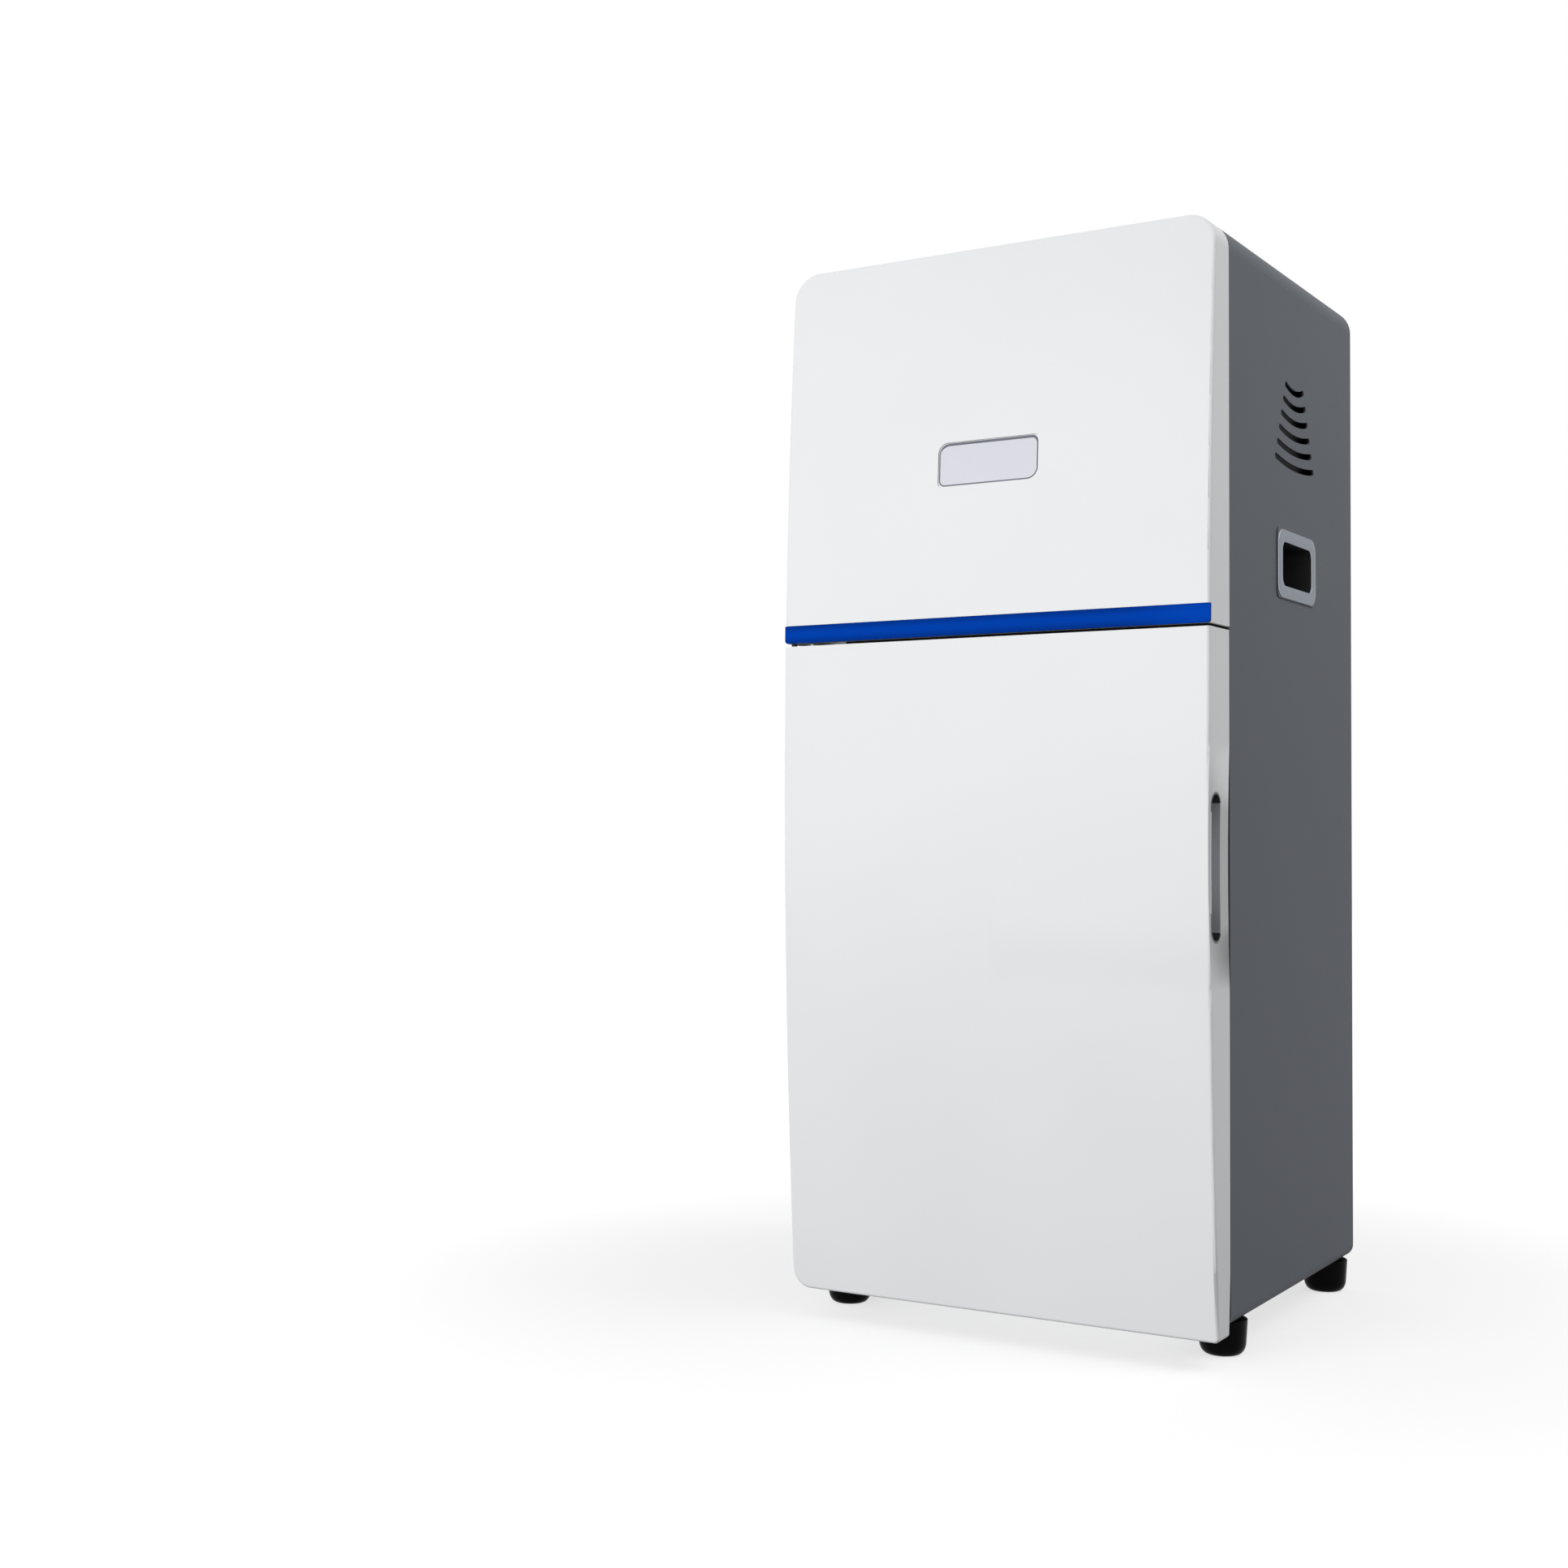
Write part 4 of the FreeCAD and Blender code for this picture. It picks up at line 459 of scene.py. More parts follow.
def finish_for(slot, looks):
    """Material of a slot, made when it is first asked for."""
    if slot not in made:
        makers = {
            "grey_paint": lambda c: powder_coat(slot, looks.grey_paint, 0.58, gloss=0.1),
            "white_front": lambda c: moulded(slot, looks.front_white, 0.42, gloss=0.35, relief=grip_hollow),
            "blue_trim": lambda c: strip_gloss(slot, looks.strip_blue),
            "window_plastic": lambda c: window_diffuser(slot, looks.window_tone, looks.front_white),
            "silver_bezel": lambda c: rim_metal(slot, looks.rim_tone),
            "black_plastic": lambda c: moulded(slot, c, 0.45, 0.8 * MM, 0.00003),
            "foot_plastic": lambda c: moulded(slot, looks.foot_tone, 0.26, 1.2 * MM, 0.000006, 0.04),
            "grip_grey": lambda c: grip_lining(slot, c),
            "bush_plastic": lambda c: moulded(slot, c, 0.4),
            "diffuser": lambda c: moulded(slot, c, 0.5),
            "seal_rubber": lambda c: soft_rubber(slot, c),
            "zinc_steel": lambda c: sheet_metal(slot, c),
            "bridge_steel": lambda c: sheet_metal(slot, c, 0.38),
            "supply_steel": lambda c: sheet_metal(slot, c, 0.3),
            "rail_steel": lambda c: brushed(slot, c, 0.28, (1.0, 0.03, 1.0)),
            "sink_aluminium": lambda c: brushed(slot, c, 0.34, (1.0, 0.03, 1.0)),
            "port_steel": lambda c: brushed(slot, c, 0.18),
            "brass": lambda c: brushed(slot, c, 0.26, (1.0, 1.0, 4.0)),
            "black_steel": lambda c: dark_paint(slot, c),
            "tray_paint": lambda c: dark_paint(slot, c),
            "magnet": lambda c: dark_paint(slot, c),
            "black_screw": lambda c: anodised(slot, c, 0.4),
            "anodised_black": lambda c: anodised(slot, c),
            "wheel_aluminium": lambda c: anodised(slot, c, 0.3),
            "camera_paint": lambda c: powder_coat(slot, c, 0.42),
            "motor_steel": lambda c: powder_coat(slot, c, 0.5, 0.8 * MM),
            "board_green": lambda c: circuit_board(slot, c),
            "filter_glass": lambda c: clear_glass(slot, c, 0.5),
            "lens_glass": lambda c: clear_glass(slot, c, 1.0),
        }
        made[slot] = makers[slot](colours[slot])
    return made[slot]


def coat(piece, material):
    piece.data.materials.clear()
    piece.data.materials.append(material)


def dress(nodes, looks):
    """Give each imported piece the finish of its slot."""
    for name in nodes:
        coat(frame["nodes"][name], finish_for(slot_of[name], looks))


# Modelling


def begin(name):
    """Name the primitive just added and settle its place into its mesh."""
    piece = bpy.context.object
    piece.name = name
    bpy.ops.object.transform_apply(location=True, rotation=True, scale=True)
    return piece


def deselect():
    bpy.ops.object.select_all(action="DESELECT")


def choose(*pieces):
    deselect()
    for piece in pieces:
        piece.select_set(True)
    bpy.context.view_layer.objects.active = pieces[0]


class Shaping:
    """Edit mode on one piece, with faces, edges or corners picked by a test."""

    def __init__(self, piece, kind="FACE"):
        self.piece = piece
        self.kind = kind

    def __enter__(self):
        choose(self.piece)
        bpy.ops.object.mode_set(mode="EDIT")
        self.use(self.kind)
        return self

    def __exit__(self, *error):
        bpy.ops.object.mode_set(mode="OBJECT")

    def use(self, kind):
        self.kind = kind
        bpy.ops.mesh.select_mode(type=kind)

    def pick(self, test):
        bpy.ops.mesh.select_all(action="DESELECT")
        mesh = bmesh.from_edit_mesh(self.piece.data)
        parts = {"FACE": mesh.faces, "EDGE": mesh.edges, "VERT": mesh.verts}[self.kind]
        for part in parts:
            if test(part):
                part.select_set(True)
        mesh.select_flush_mode()
        bmesh.update_edit_mesh(self.piece.data)

    def everything(self):
        bpy.ops.mesh.select_all(action="SELECT")

    def extrude(self, x=0.0, y=0.0, z=0.0):
        bpy.ops.mesh.extrude_region_move(TRANSFORM_OT_translate={"value": (x, y, z)})

    def scale(self, factors, about):
        bpy.ops.transform.resize(value=factors, center_override=about)

    def outwards(self):
        """Merge doubled corners and turn all faces outwards."""
        self.everything()
        bpy.ops.mesh.remove_doubles(threshold=0.00001)
        bpy.ops.mesh.normals_make_consistent(inside=False)


def smooth(piece, degrees=35):
    choose(piece)
    bpy.ops.object.shade_smooth_by_angle(angle=math.radians(degrees))


def copied(piece, name, matrix):
    """A copy with its own mesh, moved by a matrix."""
    copy = piece.copy()
    copy.data = piece.data.copy()
    copy.name = name
    bpy.context.collection.objects.link(copy)
    copy.data.transform(matrix)
    if matrix.determinant() < 0:
        copy.data.flip_normals()
    return copy


def joined(pieces, name):
    choose(*pieces)
    bpy.ops.object.join()
    whole = bpy.context.object
    whole.name = name
    whole.data.name = name
    return whole


def settle(piece, body, slot, looks, *nodes):
    """Finish a piece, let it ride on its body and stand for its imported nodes."""
    coat(piece, finish_for(slot, looks))
    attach(piece, body)
    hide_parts(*nodes)
    return piece


def islands(node):
    """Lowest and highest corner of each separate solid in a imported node."""
    mesh = bmesh.new()
    mesh.from_mesh(frame["nodes"][node].data)
    bmesh.ops.remove_doubles(mesh, verts=mesh.verts, dist=0.000002)
    left, found = set(mesh.verts), []
    while left:
        reach, edge = set(), {next(iter(left))}
        while edge:
            reach |= edge
            edge = {link.other_vert(vert) for vert in edge for link in vert.link_edges} - reach
        left -= reach
        corners = [vert.co for vert in reach]
        found.append((Vector(min(c[i] for c in corners) for i in range(3)),
                      Vector(max(c[i] for c in corners) for i in range(3))))
    mesh.free()
    return sorted(found, key=lambda box: tuple(round(part, 4) for part in box[0]))


def rounded_loop(name, width, height, radius, segments):
    """Outline of a rounded rectangle in the XY plane."""
    deselect()
    bpy.ops.mesh.primitive_plane_add(size=1.0)
    bpy.context.object.scale = (width, height, 1.0)
    loop = begin(name)
    with Shaping(loop, "VERT") as shaping:
        shaping.everything()
        bpy.ops.mesh.bevel(offset=radius, segments=segments, affect="VERTICES")
        shaping.use("FACE")
        shaping.everything()
        bpy.ops.mesh.delete(type="ONLY_FACE")
    return loop


def round_loop(name, radius, corners):
    deselect()
    bpy.ops.mesh.primitive_circle_add(vertices=corners, radius=radius, fill_type="NOTHING")
    return begin(name)


def framed(name, outer, inner, thickness, edge):
    """Plate between two outlines, with its upper edges bevelled."""
    plate = joined([outer, inner], name)
    with Shaping(plate, "EDGE") as shaping:
        shaping.everything()
        bpy.ops.mesh.bridge_edge_loops()
        shaping.use("FACE")
        shaping.everything()
        shaping.extrude(z=thickness)
        shaping.outwards()
        if edge:
            shaping.use("EDGE")
            shaping.pick(lambda e: all(v.co.z > thickness * 0.99 for v in e.verts)
                         and min(face.normal.z for face in e.link_faces) < 0.5)
            bpy.ops.mesh.bevel(offset=edge, segments=3, affect="EDGES")
    smooth(plate)
    return plate


# Modelled pieces


def model_feet(looks):
    """Four black cups that round in to a flat sole with a recess for the screw."""
    width, tall, shoulder = looks.foot_radius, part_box("feet")[1].z, looks.foot_shoulder
    deselect()
    bpy.ops.mesh.primitive_cylinder_add(vertices=64, radius=width, depth=tall - shoulder,
                                        location=(0, 0, (tall + shoulder) / 2))
    foot = begin("foot_cup")
    sole = looks.sole_radius
    waist = width - 1.0 * MM
    with Shaping(foot) as shaping:
        shaping.pick(lambda face: face.normal.z < -0.9)
        shaping.scale((waist / width, waist / width, 1), (0, 0, shoulder))
        radius, level = waist, shoulder
        for step in range(1, 9):
            angle = math.pi / 2 * (1 - step / 8)
            wide = sole + (waist - sole) * math.sin(angle)
            lower = shoulder * (1 - math.cos(angle))
            shaping.extrude(z=lower - level)
            shaping.scale((wide / radius, wide / radius, 1), (0, 0, lower))
            radius, level = wide, lower
        bpy.ops.mesh.inset(thickness=1.6 * MM, depth=0.0)
        bpy.ops.mesh.inset(thickness=0.6 * MM, depth=-0.7 * MM)
        bpy.ops.mesh.inset(thickness=sole - 2.2 * MM - 5.9 * MM, depth=0.0)
        bpy.ops.mesh.inset(thickness=0.6 * MM, depth=0.0)
        shaping.extrude(z=8.0 * MM)
        shaping.use("EDGE")
        shaping.pick(lambda edge: all(v.co.z > tall - 0.1 * MM for v in edge.verts))
        bpy.ops.mesh.bevel(offset=0.7 * MM, segments=3, affect="EDGES")
        shaping.outwards()
    smooth(foot, 40)
    cups = []
    for number, (corner, far) in enumerate(islands("feet")):
        middle = (corner + far) / 2
        cups.append(copied(foot, "foot_cup_%d" % number, Matrix.Translation((middle.x, middle.y, 0))))
    bpy.data.objects.remove(foot)
    settle(joined(cups, "foot_cups"), "cabinet", "foot_plastic", looks, "feet")


def model_rims(looks):
    """Satin frames round the carry cups."""
    places = islands("handle_bezels")
    low, high = places[-1]
    width, tall = high.y - low.y, high.z - low.z
    band = looks.rim_band
    outer = rounded_loop("rim_outside", width, tall, 11.0 * MM, 10)
    inner = rounded_loop("rim_inside", width - 2 * band, tall - 2 * band, 7.0 * MM, 10)
    rim = framed("carry_rim", outer, inner, high.x - low.x, 0.45 * MM)
    middle = (low + high) / 2
    upright = Matrix(((0, 0, 1, low.x), (1, 0, 0, middle.y), (0, 1, 0, middle.z), (0, 0, 0, 1)))
    rim.data.transform(upright)
    other = copied(rim, "carry_rim_left", Matrix.Scale(-1, 4, (1, 0, 0)))
    settle(joined([rim, other], "carry_rims"), "cabinet", "silver_bezel", looks, "handle_bezels")


def model_guard(looks):
    """Round-wire rings on two crossed wires, with an ear at each corner."""
    low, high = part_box("fan_guard")
    centre = (low + high) / 2
    wire = looks.guard_wire / 2
    front = high.y - wire
    pieces = []
    for radius in (14.0 * MM, 23.0 * MM, 32.0 * MM, 41.0 * MM):
        loop = round_loop("guard_ring", wire, 10)
        loop.data.transform(Matrix.Translation((centre.x + radius, front, centre.z)))
        with Shaping(loop, "VERT") as shaping:
            shaping.everything()
            bpy.ops.mesh.spin(steps=72, angle=2 * math.pi, center=(centre.x, front, centre.z), axis=(0, 1, 0))
            shaping.outwards()
        smooth(loop, 80)
        pieces.append(loop)
    reach = (high.x - low.x) / 2 - 4.5 * MM
    back = low.y + wire
    for turn in (1, -1):
        loop = round_loop("guard_bar", wire, 10)
        with Shaping(loop, "VERT") as shaping:
            shaping.everything()
            bpy.ops.mesh.edge_face_add()
            shaping.extrude(z=2 * reach * math.sqrt(2) - 5 * MM)
            shaping.outwards()
        half = reach * math.sqrt(2) - 2.5 * MM
        lay = Matrix.Rotation(turn * math.radians(45), 4, "Y") @ Matrix.Translation((0, 0, -half))
        loop.data.transform(Matrix.Translation((centre.x, back, centre.z)) @ lay)
        smooth(loop, 50)
        pieces.append(loop)
    for right in (-1, 1):
        for up in (-1, 1):
            ear = framed("guard_ear", round_loop("ear_outside", 4.5 * MM, 24),
                         round_loop("ear_inside", 2.1 * MM, 24), 1.6 * MM, 0.0)
            place = (centre.x + right * reach, low.y + 1.6 * MM, centre.z + up * reach)
            ear.data.transform(Matrix.Translation(place) @ Matrix.Rotation(math.pi / 2, 4, "X"))
            pieces.append(ear)
    settle(joined(pieces, "wire_guard"), "cabinet", "black_screw", looks, "fan_guard")


def model_rotor(looks, node, body, blades, along):
    """Hub with thin blades that twist from steep at the hub to flat at the tip."""
    low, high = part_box(node)
    size = max(high.x - low.x, high.z - low.z if along == "y" else high.y - low.y)
    depth = high.y - low.y if along == "y" else high.z - low.z
    hub, tip = size * 0.21, size / 2
    deselect()
    bpy.ops.mesh.primitive_cylinder_add(vertices=48, radius=hub, depth=depth)
    centre = begin("rotor_hub")
    with Shaping(centre, "EDGE") as shaping:
        shaping.pick(lambda edge: all(v.co.z > depth * 0.49 for v in edge.verts))
        bpy.ops.mesh.bevel(offset=depth * 0.08, segments=4, affect="EDGES")
        shaping.use("FACE")
        shaping.pick(lambda face: face.normal.z > 0.99)
        bpy.ops.mesh.inset(thickness=hub * 0.28, depth=0.0)
        bpy.ops.mesh.inset(thickness=0.4 * MM, depth=-0.4 * MM)
    smooth(centre, 35)
    deselect()
    bpy.ops.mesh.primitive_grid_add(x_subdivisions=8, y_subdivisions=5, size=1.0)
    blade = bpy.context.object
    blade.scale = (tip - hub * 0.94, depth * 0.84, 1.0)
    blade.location = ((tip + hub * 0.94) / 2, 0, 0)
    blade = begin("rotor_blade")
    columns = sorted({round(vert.co.x, 6) for vert in blade.data.vertices})
    with Shaping(blade, "VERT") as shaping:
        for number, x in enumerate(columns):
            share = number / (len(columns) - 1)
            steep = math.radians(-66 + 26 * share)
            shaping.pick(lambda vert: abs(vert.co.x - x) < 0.00001)
            wide = 0.9 + 0.75 * share
            shaping.scale((1, wide, 1), (x, 0, 0))
            bpy.ops.transform.rotate(value=steep, orient_axis="X", center_override=(x, 0, 0))
            bpy.ops.transform.translate(value=(0, tip * 0.16 * share * share, 0))
    thick = blade.modifiers.new("blade_wall", "SOLIDIFY")
    thick.thickness = looks.blade_wall
    thick.offset = 0.0
    choose(blade)
    bpy.ops.object.modifier_apply(modifier="blade_wall")
    limit = depth / 2 - 0.2 * MM
    for vert in blade.data.vertices:
        vert.co.z = max(-limit, min(limit, vert.co.z))
    smooth(blade, 50)
    pieces = [centre]
    for number in range(blades):
        turn = Matrix.Rotation(2 * math.pi * number / blades, 4, "Z")
        pieces.append(copied(blade, "rotor_blade_%d" % number, turn))
    bpy.data.objects.remove(blade)
    rotor = joined(pieces, node.replace("_rotor", "_impeller"))
    stand = Matrix.Rotation(-math.pi / 2, 4, "X") if along == "y" else Matrix.Identity(4)
    rotor.data.transform(Matrix.Translation((low + high) / 2) @ stand)
    return settle(rotor, body, "black_plastic", looks, node)


def model_screw(radius, tall, shank_radius, shank):
    """Pan head with a cross recess, pointing up from its seat at the origin."""
    deselect()
    bpy.ops.mesh.primitive_cylinder_add(vertices=28, radius=radius, depth=tall, location=(0, 0, tall / 2))
    screw = begin("cross_screw")
    with Shaping(screw, "EDGE") as shaping:
        shaping.pick(lambda edge: all(v.co.z > tall * 0.99 for v in edge.verts))
        bpy.ops.mesh.bevel(offset=tall * 0.42, segments=4, affect="EDGES")
        shaping.use("FACE")
        shaping.pick(lambda face: face.normal.z < -0.9)
        bpy.ops.mesh.inset(thickness=radius - shank_radius, depth=0.0)
        shaping.extrude(z=-shank)
    cutters = []
    for turn in (0, math.pi / 2):
        deselect()
        bpy.ops.mesh.primitive_cube_add(size=1.0, location=(0, 0, tall), rotation=(0, 0, turn))
        bpy.context.object.scale = (radius * 1.15, radius * 0.24, tall * 1.1)
        cutter = begin("cross_cutter")
        with Shaping(cutter) as shaping:
            shaping.pick(lambda face: face.normal.z < -0.9)
            shaping.scale((0.55, 0.55, 1), (0, 0, 0))
        cutters.append(cutter)
    for cutter in cutters:
        choose(screw)
        notch = screw.modifiers.new("recess", "BOOLEAN")
        notch.operation = "DIFFERENCE"
        notch.solver = "EXACT"
        notch.object = cutter
        bpy.ops.object.modifier_apply(modifier="recess")
        bpy.data.objects.remove(cutter)
    smooth(screw, 30)
    return screw


def spread_screws(looks, node, name, body, up):
    """One cross-recessed screw over each packed screw; up gives its head's sign and axis, Y or Z."""
    places = islands(node)
    pieces, models = [], {}
    for number, (low, high) in enumerate(places):
        outward, index = up((low, high))
        radius = (high.x - low.x) / 2
        length = high[index] - low[index]
        tall = 1.2 * MM if length > 20 * MM else 1.8 * MM
        key = (round(radius, 5), round(length, 5))
        if key not in models:
            models[key] = model_screw(radius, tall, SHANK_RADIUS, length - tall)
        middle = (low + high) / 2
        middle[index] = high[index] - tall if outward > 0 else low[index] + tall
        normal = Vector([outward if i == index else 0 for i in range(3)])
        turn = normal.to_track_quat("Z", "Y").to_matrix().to_4x4()
        spin = Matrix.Rotation(number * 0.7, 4, "Z")
        pieces.append(copied(models[key], "%s_%d" % (name, number), Matrix.Translation(middle) @ turn @ spin))
    for model in models.values():
        bpy.data.objects.remove(model)
    return settle(joined(pieces, name), body, "black_screw", looks, node)


# Settings


class CabinetLooks(bpy.types.PropertyGroup):
    """Colours and sizes that a user would change."""

    grey_paint: bpy.props.FloatVectorProperty(
        name="Shell paint", description="Powder coat of the sheet-metal shell",
        subtype="COLOR", size=3, min=0, max=1, default=colours["grey_paint"])
    front_white: bpy.props.FloatVectorProperty(
        name="Front white", description="Moulded door and upper front",
        subtype="COLOR", size=3, min=0, max=1, default=colours["white_front"])
    strip_blue: bpy.props.FloatVectorProperty(
        name="Strip blue", description="Glossy strip above the door",
        subtype="COLOR", size=3, min=0, max=1, default=(0.0, 0.05, 0.4))
    window_tone: bpy.props.FloatVectorProperty(
        name="Window tone", description="Diffusing plastic of the status window",
        subtype="COLOR", size=3, min=0, max=1, default=colours["window_plastic"])
    rim_tone: bpy.props.FloatVectorProperty(
        name="Rim tone", description="Satin metal of the carry rims",
        subtype="COLOR", size=3, min=0, max=1, default=(0.2, 0.222, 0.255))
    foot_tone: bpy.props.FloatVectorProperty(
        name="Foot tone", description="Moulded black of the feet",
        subtype="COLOR", size=3, min=0, max=1, default=(0.002, 0.002, 0.002))
    key_power: bpy.props.FloatProperty(
        name="Key power", description="Power of the large soft lamp at the front",
        unit="POWER", min=0, default=89.0)
    side_power: bpy.props.FloatProperty(
        name="Side power", description="Power of the soft lamp beside the shell",
        unit="POWER", min=0, default=14.0)
    sky_level: bpy.props.FloatProperty(
        name="Sky level", description="Strength of the even light from all round",
        subtype="FACTOR", min=0, max=1, default=0.45)
    foot_radius: bpy.props.FloatProperty(
        name="Foot radius", description="Radius of a foot at its top",
        subtype="DISTANCE", unit="LENGTH", min=0.005, default=17.6 * MM)
    foot_shoulder: bpy.props.FloatProperty(
        name="Foot shoulder", description="Height at which a foot starts to round in",
        subtype="DISTANCE", unit="LENGTH", min=0.002, default=9.0 * MM)
    sole_radius: bpy.props.FloatProperty(
        name="Sole radius", description="Radius of a foot's flat sole",
        subtype="DISTANCE", unit="LENGTH", min=0.008, default=10.5 * MM)
    rim_band: bpy.props.FloatProperty(
        name="Rim band", description="Width of the frame round a carry cup",
        subtype="DISTANCE", unit="LENGTH", min=0.001, default=9.0 * MM)
    guard_wire: bpy.props.FloatProperty(
        name="Guard wire", description="Diameter of the fan guard's wire",
        subtype="DISTANCE", unit="LENGTH", min=0.0005, default=1.8 * MM)
    blade_wall: bpy.props.FloatProperty(
        name="Blade wall", description="Thickness of a fan blade",
        subtype="DISTANCE", unit="LENGTH", min=0.0003, default=1.2 * MM)
    lens_length: bpy.props.FloatProperty(
        name="Lens", description="Focal length on a sensor 36 mm wide",
        unit="CAMERA", min=10, default=47.64)


class CabinetOperator:
    """Shared part of the operators."""

    bl_options = {"REGISTER", "UNDO"}

    @property
    def looks(self):
        return bpy.context.scene.cabinet_looks


class CABINET_OT_dress_shell(CabinetOperator, bpy.types.Operator):
    """Paint the sheet-metal shell, its rear panel and what is fixed to them"""

    bl_idname = "cabinet.dress_shell"
    bl_label = "Shell"

    def execute(self, context):
        dress(SHELL, self.looks)
        return {"FINISHED"}


class CABINET_OT_add_feet(CabinetOperator, bpy.types.Operator):
    """Model the four feet"""

    bl_idname = "cabinet.add_feet"
    bl_label = "Feet"

    def execute(self, context):
        model_feet(self.looks)
        return {"FINISHED"}


class CABINET_OT_add_rims(CabinetOperator, bpy.types.Operator):
    """Model the satin frames of the carry cups"""

    bl_idname = "cabinet.add_rims"
    bl_label = "Carry rims"

    def execute(self, context):
        model_rims(self.looks)
        return {"FINISHED"}


class CABINET_OT_add_guard(CabinetOperator, bpy.types.Operator):
    """Model the round-wire guard of the exhaust fan"""

    bl_idname = "cabinet.add_guard"
    bl_label = "Fan guard"

    def execute(self, context):
        model_guard(self.looks)
        return {"FINISHED"}


class CABINET_OT_add_impellers(CabinetOperator, bpy.types.Operator):
    """Model the twisted blades of both fans"""

    bl_idname = "cabinet.add_impellers"
    bl_label = "Fan impellers"

    def execute(self, context):
        model_rotor(self.looks, "exhaust_fan_rotor", "exhaust_fan", 7, "y")
        model_rotor(self.looks, "camera_fan_rotor", "camera_fan", 5, "z")
        return {"FINISHED"}


class CABINET_OT_add_screws(CabinetOperator, bpy.types.Operator):
    """Model the cross-recessed screws of the rear and the hinge brackets"""

    bl_idname = "cabinet.add_screws"
    bl_label = "Screws"

    def execute(self, context):
        spread_screws(self.looks, "rear_screws", "cross_rear_screws", "cabinet", lambda box: (1, Y))
        spread_screws(self.looks, "hinge_bracket_screws", "cross_bracket_screws", "cabinet",
                      lambda box: (-1, Z) if box[0].z < 0.1 else (-1, Y))
        return {"FINISHED"}


class CABINET_OT_dress_head(CabinetOperator, bpy.types.Operator):
    """Finish the fixed upper front, its strip and its window"""

    bl_idname = "cabinet.dress_head"
    bl_label = "Upper front"

    def execute(self, context):
        dress(HEAD, self.looks)
        return {"FINISHED"}


class CABINET_OT_dress_door(CabinetOperator, bpy.types.Operator):
    """Finish the door, its hinge and its seal"""

    bl_idname = "cabinet.dress_door"
    bl_label = "Door"

    def execute(self, context):
        dress(DOOR, self.looks)
        return {"FINISHED"}


class CABINET_OT_dress_chamber(CabinetOperator, bpy.types.Operator):
    """Finish the dark chamber, its rails, tray and lights"""

    bl_idname = "cabinet.dress_chamber"
    bl_label = "Dark chamber"

    def execute(self, context):
        dress(CHAMBER, self.looks)
        return {"FINISHED"}


class CABINET_OT_dress_optics(CabinetOperator, bpy.types.Operator):
    """Finish the filter wheel, lens and camera"""

    bl_idname = "cabinet.dress_optics"
    bl_label = "Filter wheel and camera"

    def execute(self, context):
        dress(OPTICS, self.looks)
        return {"FINISHED"}


class CABINET_OT_dress_services(CabinetOperator, bpy.types.Operator):
    """Finish the supply, controller, fans and rear sockets"""

    bl_idname = "cabinet.dress_services"
    bl_label = "Supply, controller and rear"

    def execute(self, context):
        dress(SERVICES, self.looks)
        coat(frame["nodes"]["power_rocker"], marked_rocker("rocker_black", colours["black_plastic"]))
        return {"FINISHED"}


# Stage


FRONT_LAMP = {"place": (-1.05, -3.4, 0.9), "aim": (0, -0.1, 0.42), "size": (2.0, 2.0)}
SIDE_LAMP = {"place": (1.5, 0.3, 1.9), "aim": (0.15, 0, 0.7), "size": (1.1, 1.1)}
FLOOR_SIZE = 14.0
PAPER_SEEN = (0.98, 0.98, 0.98)
PAPER_BOUNCE = (0.16, 0.16, 0.16)
PAPER_GLOW = 1.1
WHITE = (1.0, 1.0, 1.0, 1.0)


def soft_lamp(name, power, place, aim, size):
    deselect()
    bpy.ops.object.light_add(type="AREA", location=place)
    lamp = bpy.context.object
    lamp.name = name
    lamp.data.shape = "RECTANGLE"
    lamp.data.size, lamp.data.size_y = size
    lamp.data.energy = power
    lamp.rotation_euler = (Vector(aim) - Vector(place)).to_track_quat("-Z", "Y").to_euler()


def pale_floor():
    """White to the camera and in reflections, with the object's shadow kept near it."""
    f = Finish("pale_floor")
    path = f.node("ShaderNodeLightPath")
    seen = Value(f, path.outputs["Is Camera Ray"]).larger(Value(f, path.outputs["Is Glossy Ray"]))
    seen = seen.larger(Value(f, path.outputs["Is Transmission Ray"]))
    away = f.value("ShaderNodeVectorMath", {"operation": "LENGTH"}, {0: f.where()}, output="Value")
    far = away.step(0.3, 0.85)
    tone = f.tint(seen, PAPER_BOUNCE, PAPER_SEEN)
    paper = f.node("ShaderNodeBsdfDiffuse", None, {"Color": tone})
    glow = f.node("ShaderNodeEmission", None, {"Color": WHITE, "Strength": PAPER_GLOW})
    mix = f.node("ShaderNodeMixShader", None, {0: seen * (far * 0.38 + 0.62)})
    f.tree.links.new(paper.outputs[0], mix.inputs[1])
    f.tree.links.new(glow.outputs[0], mix.inputs[2])
    output = f.node("ShaderNodeOutputMaterial")
    f.tree.links.new(mix.outputs[0], output.inputs[0])
    return f.material


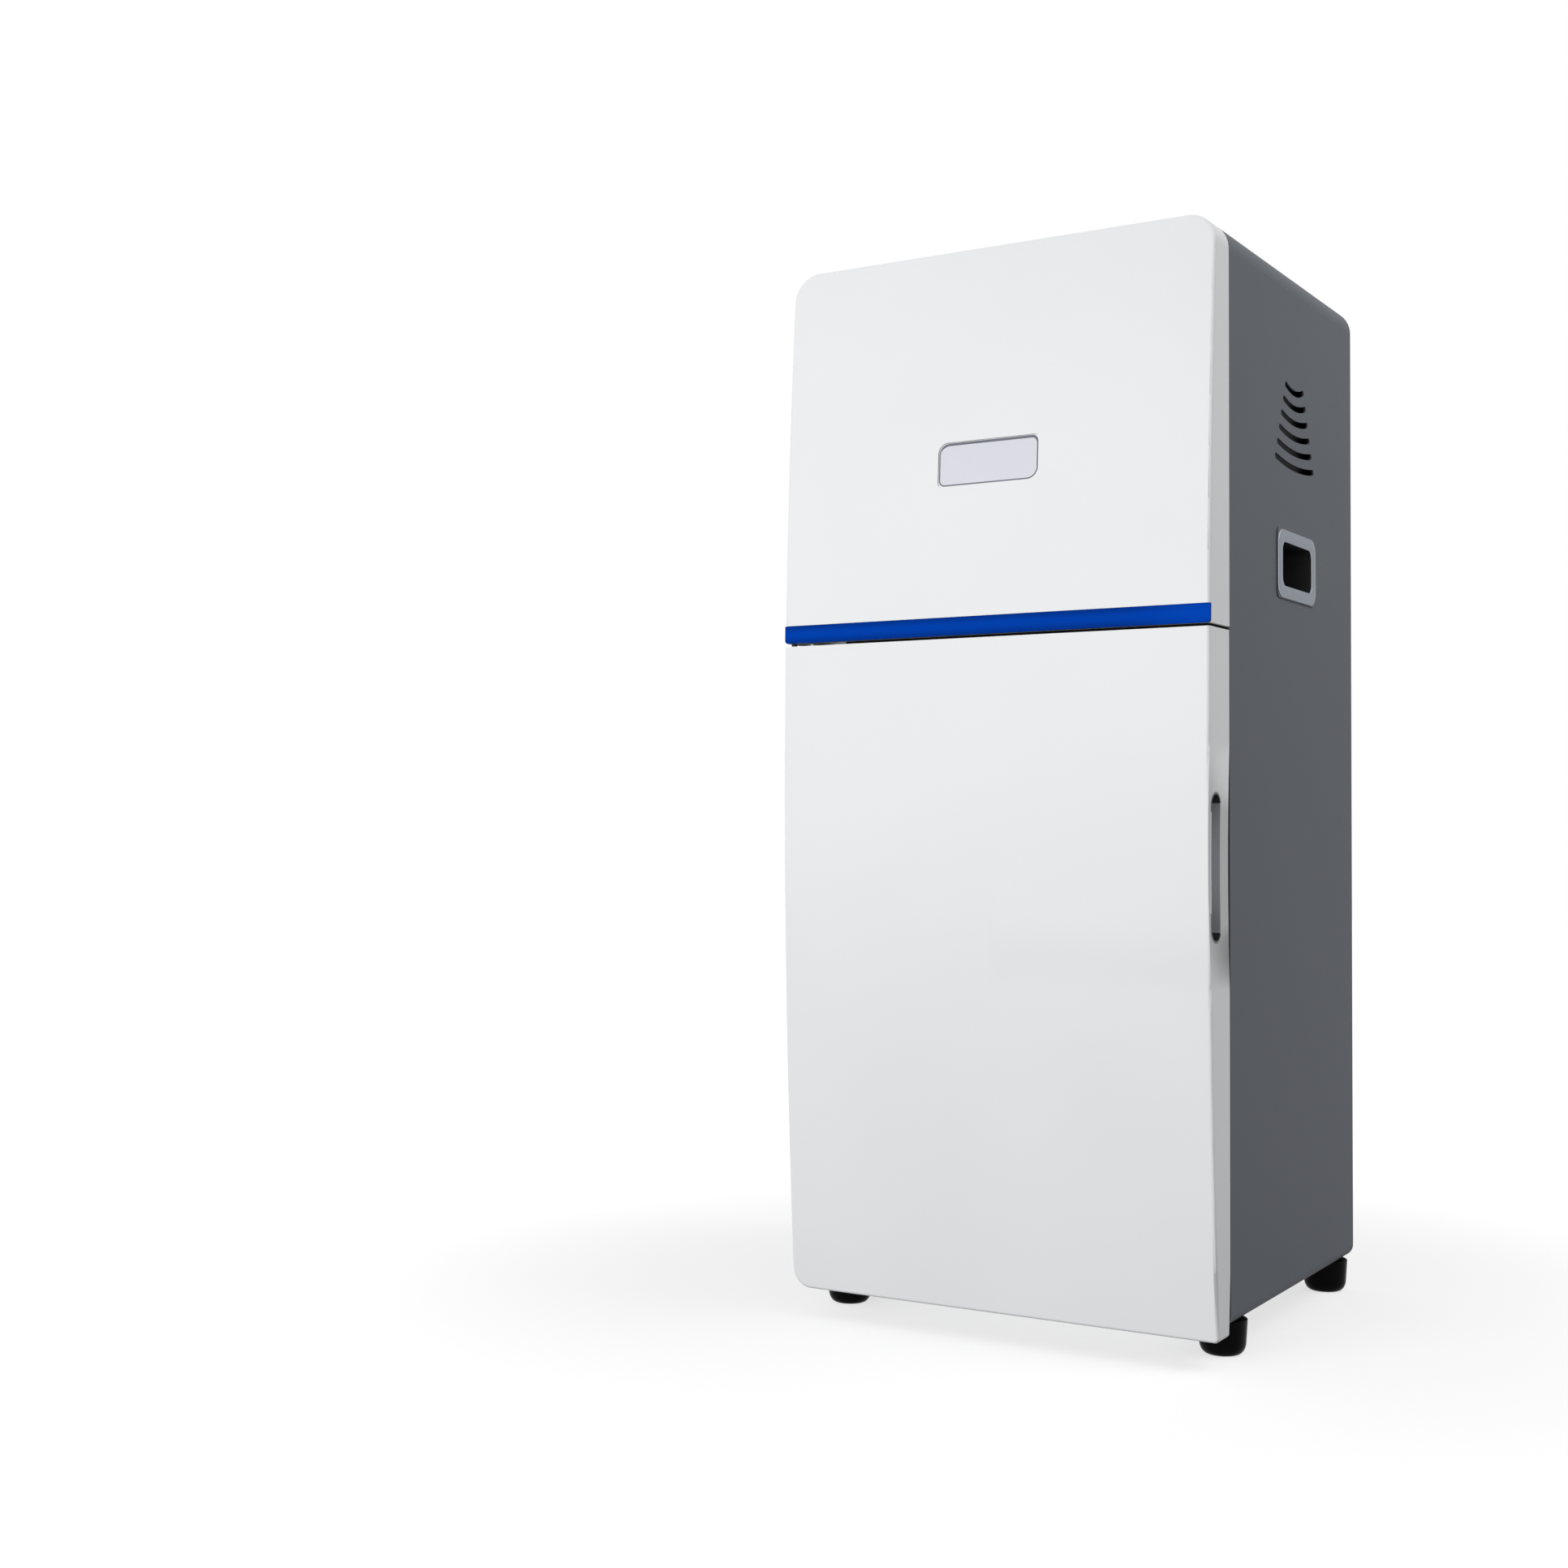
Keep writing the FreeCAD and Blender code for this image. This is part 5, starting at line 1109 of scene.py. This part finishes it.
def white_sky(level):
    """White where the camera, a reflection or glass sees it, and a fainter even light elsewhere."""
    world = bpy.data.worlds.new("white_sky")
    world.use_nodes = True
    tree = world.node_tree
    tree.nodes.clear()
    path = tree.nodes.new("ShaderNodeLightPath")
    seen = path.outputs["Is Camera Ray"]
    for ray in ("Is Transmission Ray", "Is Glossy Ray"):
        either = tree.nodes.new("ShaderNodeMath")
        either.operation = "MAXIMUM"
        tree.links.new(seen, either.inputs[0])
        tree.links.new(path.outputs[ray], either.inputs[1])
        seen = either.outputs[0]
    strength = tree.nodes.new("ShaderNodeMapRange")
    tree.links.new(seen, strength.inputs["Value"])
    strength.inputs["To Min"].default_value = level
    strength.inputs["To Max"].default_value = 1.0
    sky = tree.nodes.new("ShaderNodeBackground")
    sky.inputs["Color"].default_value = WHITE
    tree.links.new(strength.outputs[0], sky.inputs["Strength"])
    output = tree.nodes.new("ShaderNodeOutputWorld")
    tree.links.new(sky.outputs[0], output.inputs[0])
    bpy.context.scene.world = world


CAMERA_PLACE = (0.66282, -1.52259, 0.37096)
CAMERA_YAW = math.radians(31.581)
CAMERA_PITCH = math.radians(1.256)
CAMERA_ROLL = math.radians(0.156)


def set_camera(lens):
    bpy.ops.object.camera_add(location=CAMERA_PLACE)
    camera = bpy.context.object
    camera.name = "view_camera"
    camera.data.lens = lens
    camera.data.sensor_width = 36.0
    turn = Matrix.Rotation(CAMERA_YAW, 3, "Z") @ Matrix.Rotation(math.pi / 2 + CAMERA_PITCH, 3, "X")
    camera.rotation_euler = (turn @ Matrix.Rotation(CAMERA_ROLL, 3, "Z")).to_euler()
    bpy.context.scene.camera = camera


class CABINET_OT_set_stage(CabinetOperator, bpy.types.Operator):
    """Set the floor, the soft lamps, the sky and the camera"""

    bl_idname = "cabinet.set_stage"
    bl_label = "Stage"

    def execute(self, context):
        deselect()
        bpy.ops.mesh.primitive_plane_add(size=FLOOR_SIZE, location=(0, 0, 0))
        floor = bpy.context.object
        floor.name = "pale_floor"
        floor.data.materials.append(pale_floor())
        soft_lamp("front_lamp", self.looks.key_power, **FRONT_LAMP)
        soft_lamp("side_lamp", self.looks.side_power, **SIDE_LAMP)
        white_sky(self.looks.sky_level)
        set_camera(self.looks.lens_length)
        context.scene.view_settings.view_transform = "Standard"
        return {"FINISHED"}


STEPS = (CABINET_OT_dress_shell, CABINET_OT_add_feet, CABINET_OT_add_rims, CABINET_OT_dress_head,
         CABINET_OT_dress_door, CABINET_OT_dress_chamber, CABINET_OT_dress_optics,
         CABINET_OT_dress_services, CABINET_OT_add_guard, CABINET_OT_add_impellers,
         CABINET_OT_add_screws, CABINET_OT_set_stage)


class CABINET_PT_looks(bpy.types.Panel):
    """Sidebar panel that lists the settings and the steps"""

    bl_idname = "CABINET_PT_looks"
    bl_label = "Imaging cabinet"
    bl_space_type = "VIEW_3D"
    bl_region_type = "UI"
    bl_category = "Cabinet"

    def draw(self, context):
        looks = context.scene.cabinet_looks
        for name in CabinetLooks.__annotations__:
            self.layout.prop(looks, name)
        for step in STEPS:
            self.layout.operator(step.bl_idname)


def register():
    bpy.utils.register_class(CabinetLooks)
    bpy.types.Scene.cabinet_looks = bpy.props.PointerProperty(type=CabinetLooks)
    for step in STEPS:
        bpy.utils.register_class(step)
    bpy.utils.register_class(CABINET_PT_looks)


def unregister():
    bpy.utils.unregister_class(CABINET_PT_looks)
    for step in reversed(STEPS):
        bpy.utils.unregister_class(step)
    del bpy.types.Scene.cabinet_looks
    bpy.utils.unregister_class(CabinetLooks)


def main():
    register()
    bpy.ops.cabinet.dress_shell()
    bpy.ops.cabinet.add_feet()
    bpy.ops.cabinet.add_rims()
    bpy.ops.cabinet.dress_head()
    bpy.ops.cabinet.dress_door()
    bpy.ops.cabinet.dress_chamber()
    bpy.ops.cabinet.dress_optics()
    bpy.ops.cabinet.dress_services()
    bpy.ops.cabinet.add_guard()
    bpy.ops.cabinet.add_impellers()
    bpy.ops.cabinet.add_screws()
    bpy.ops.cabinet.set_stage()


if __name__ == "__main__":
    main()
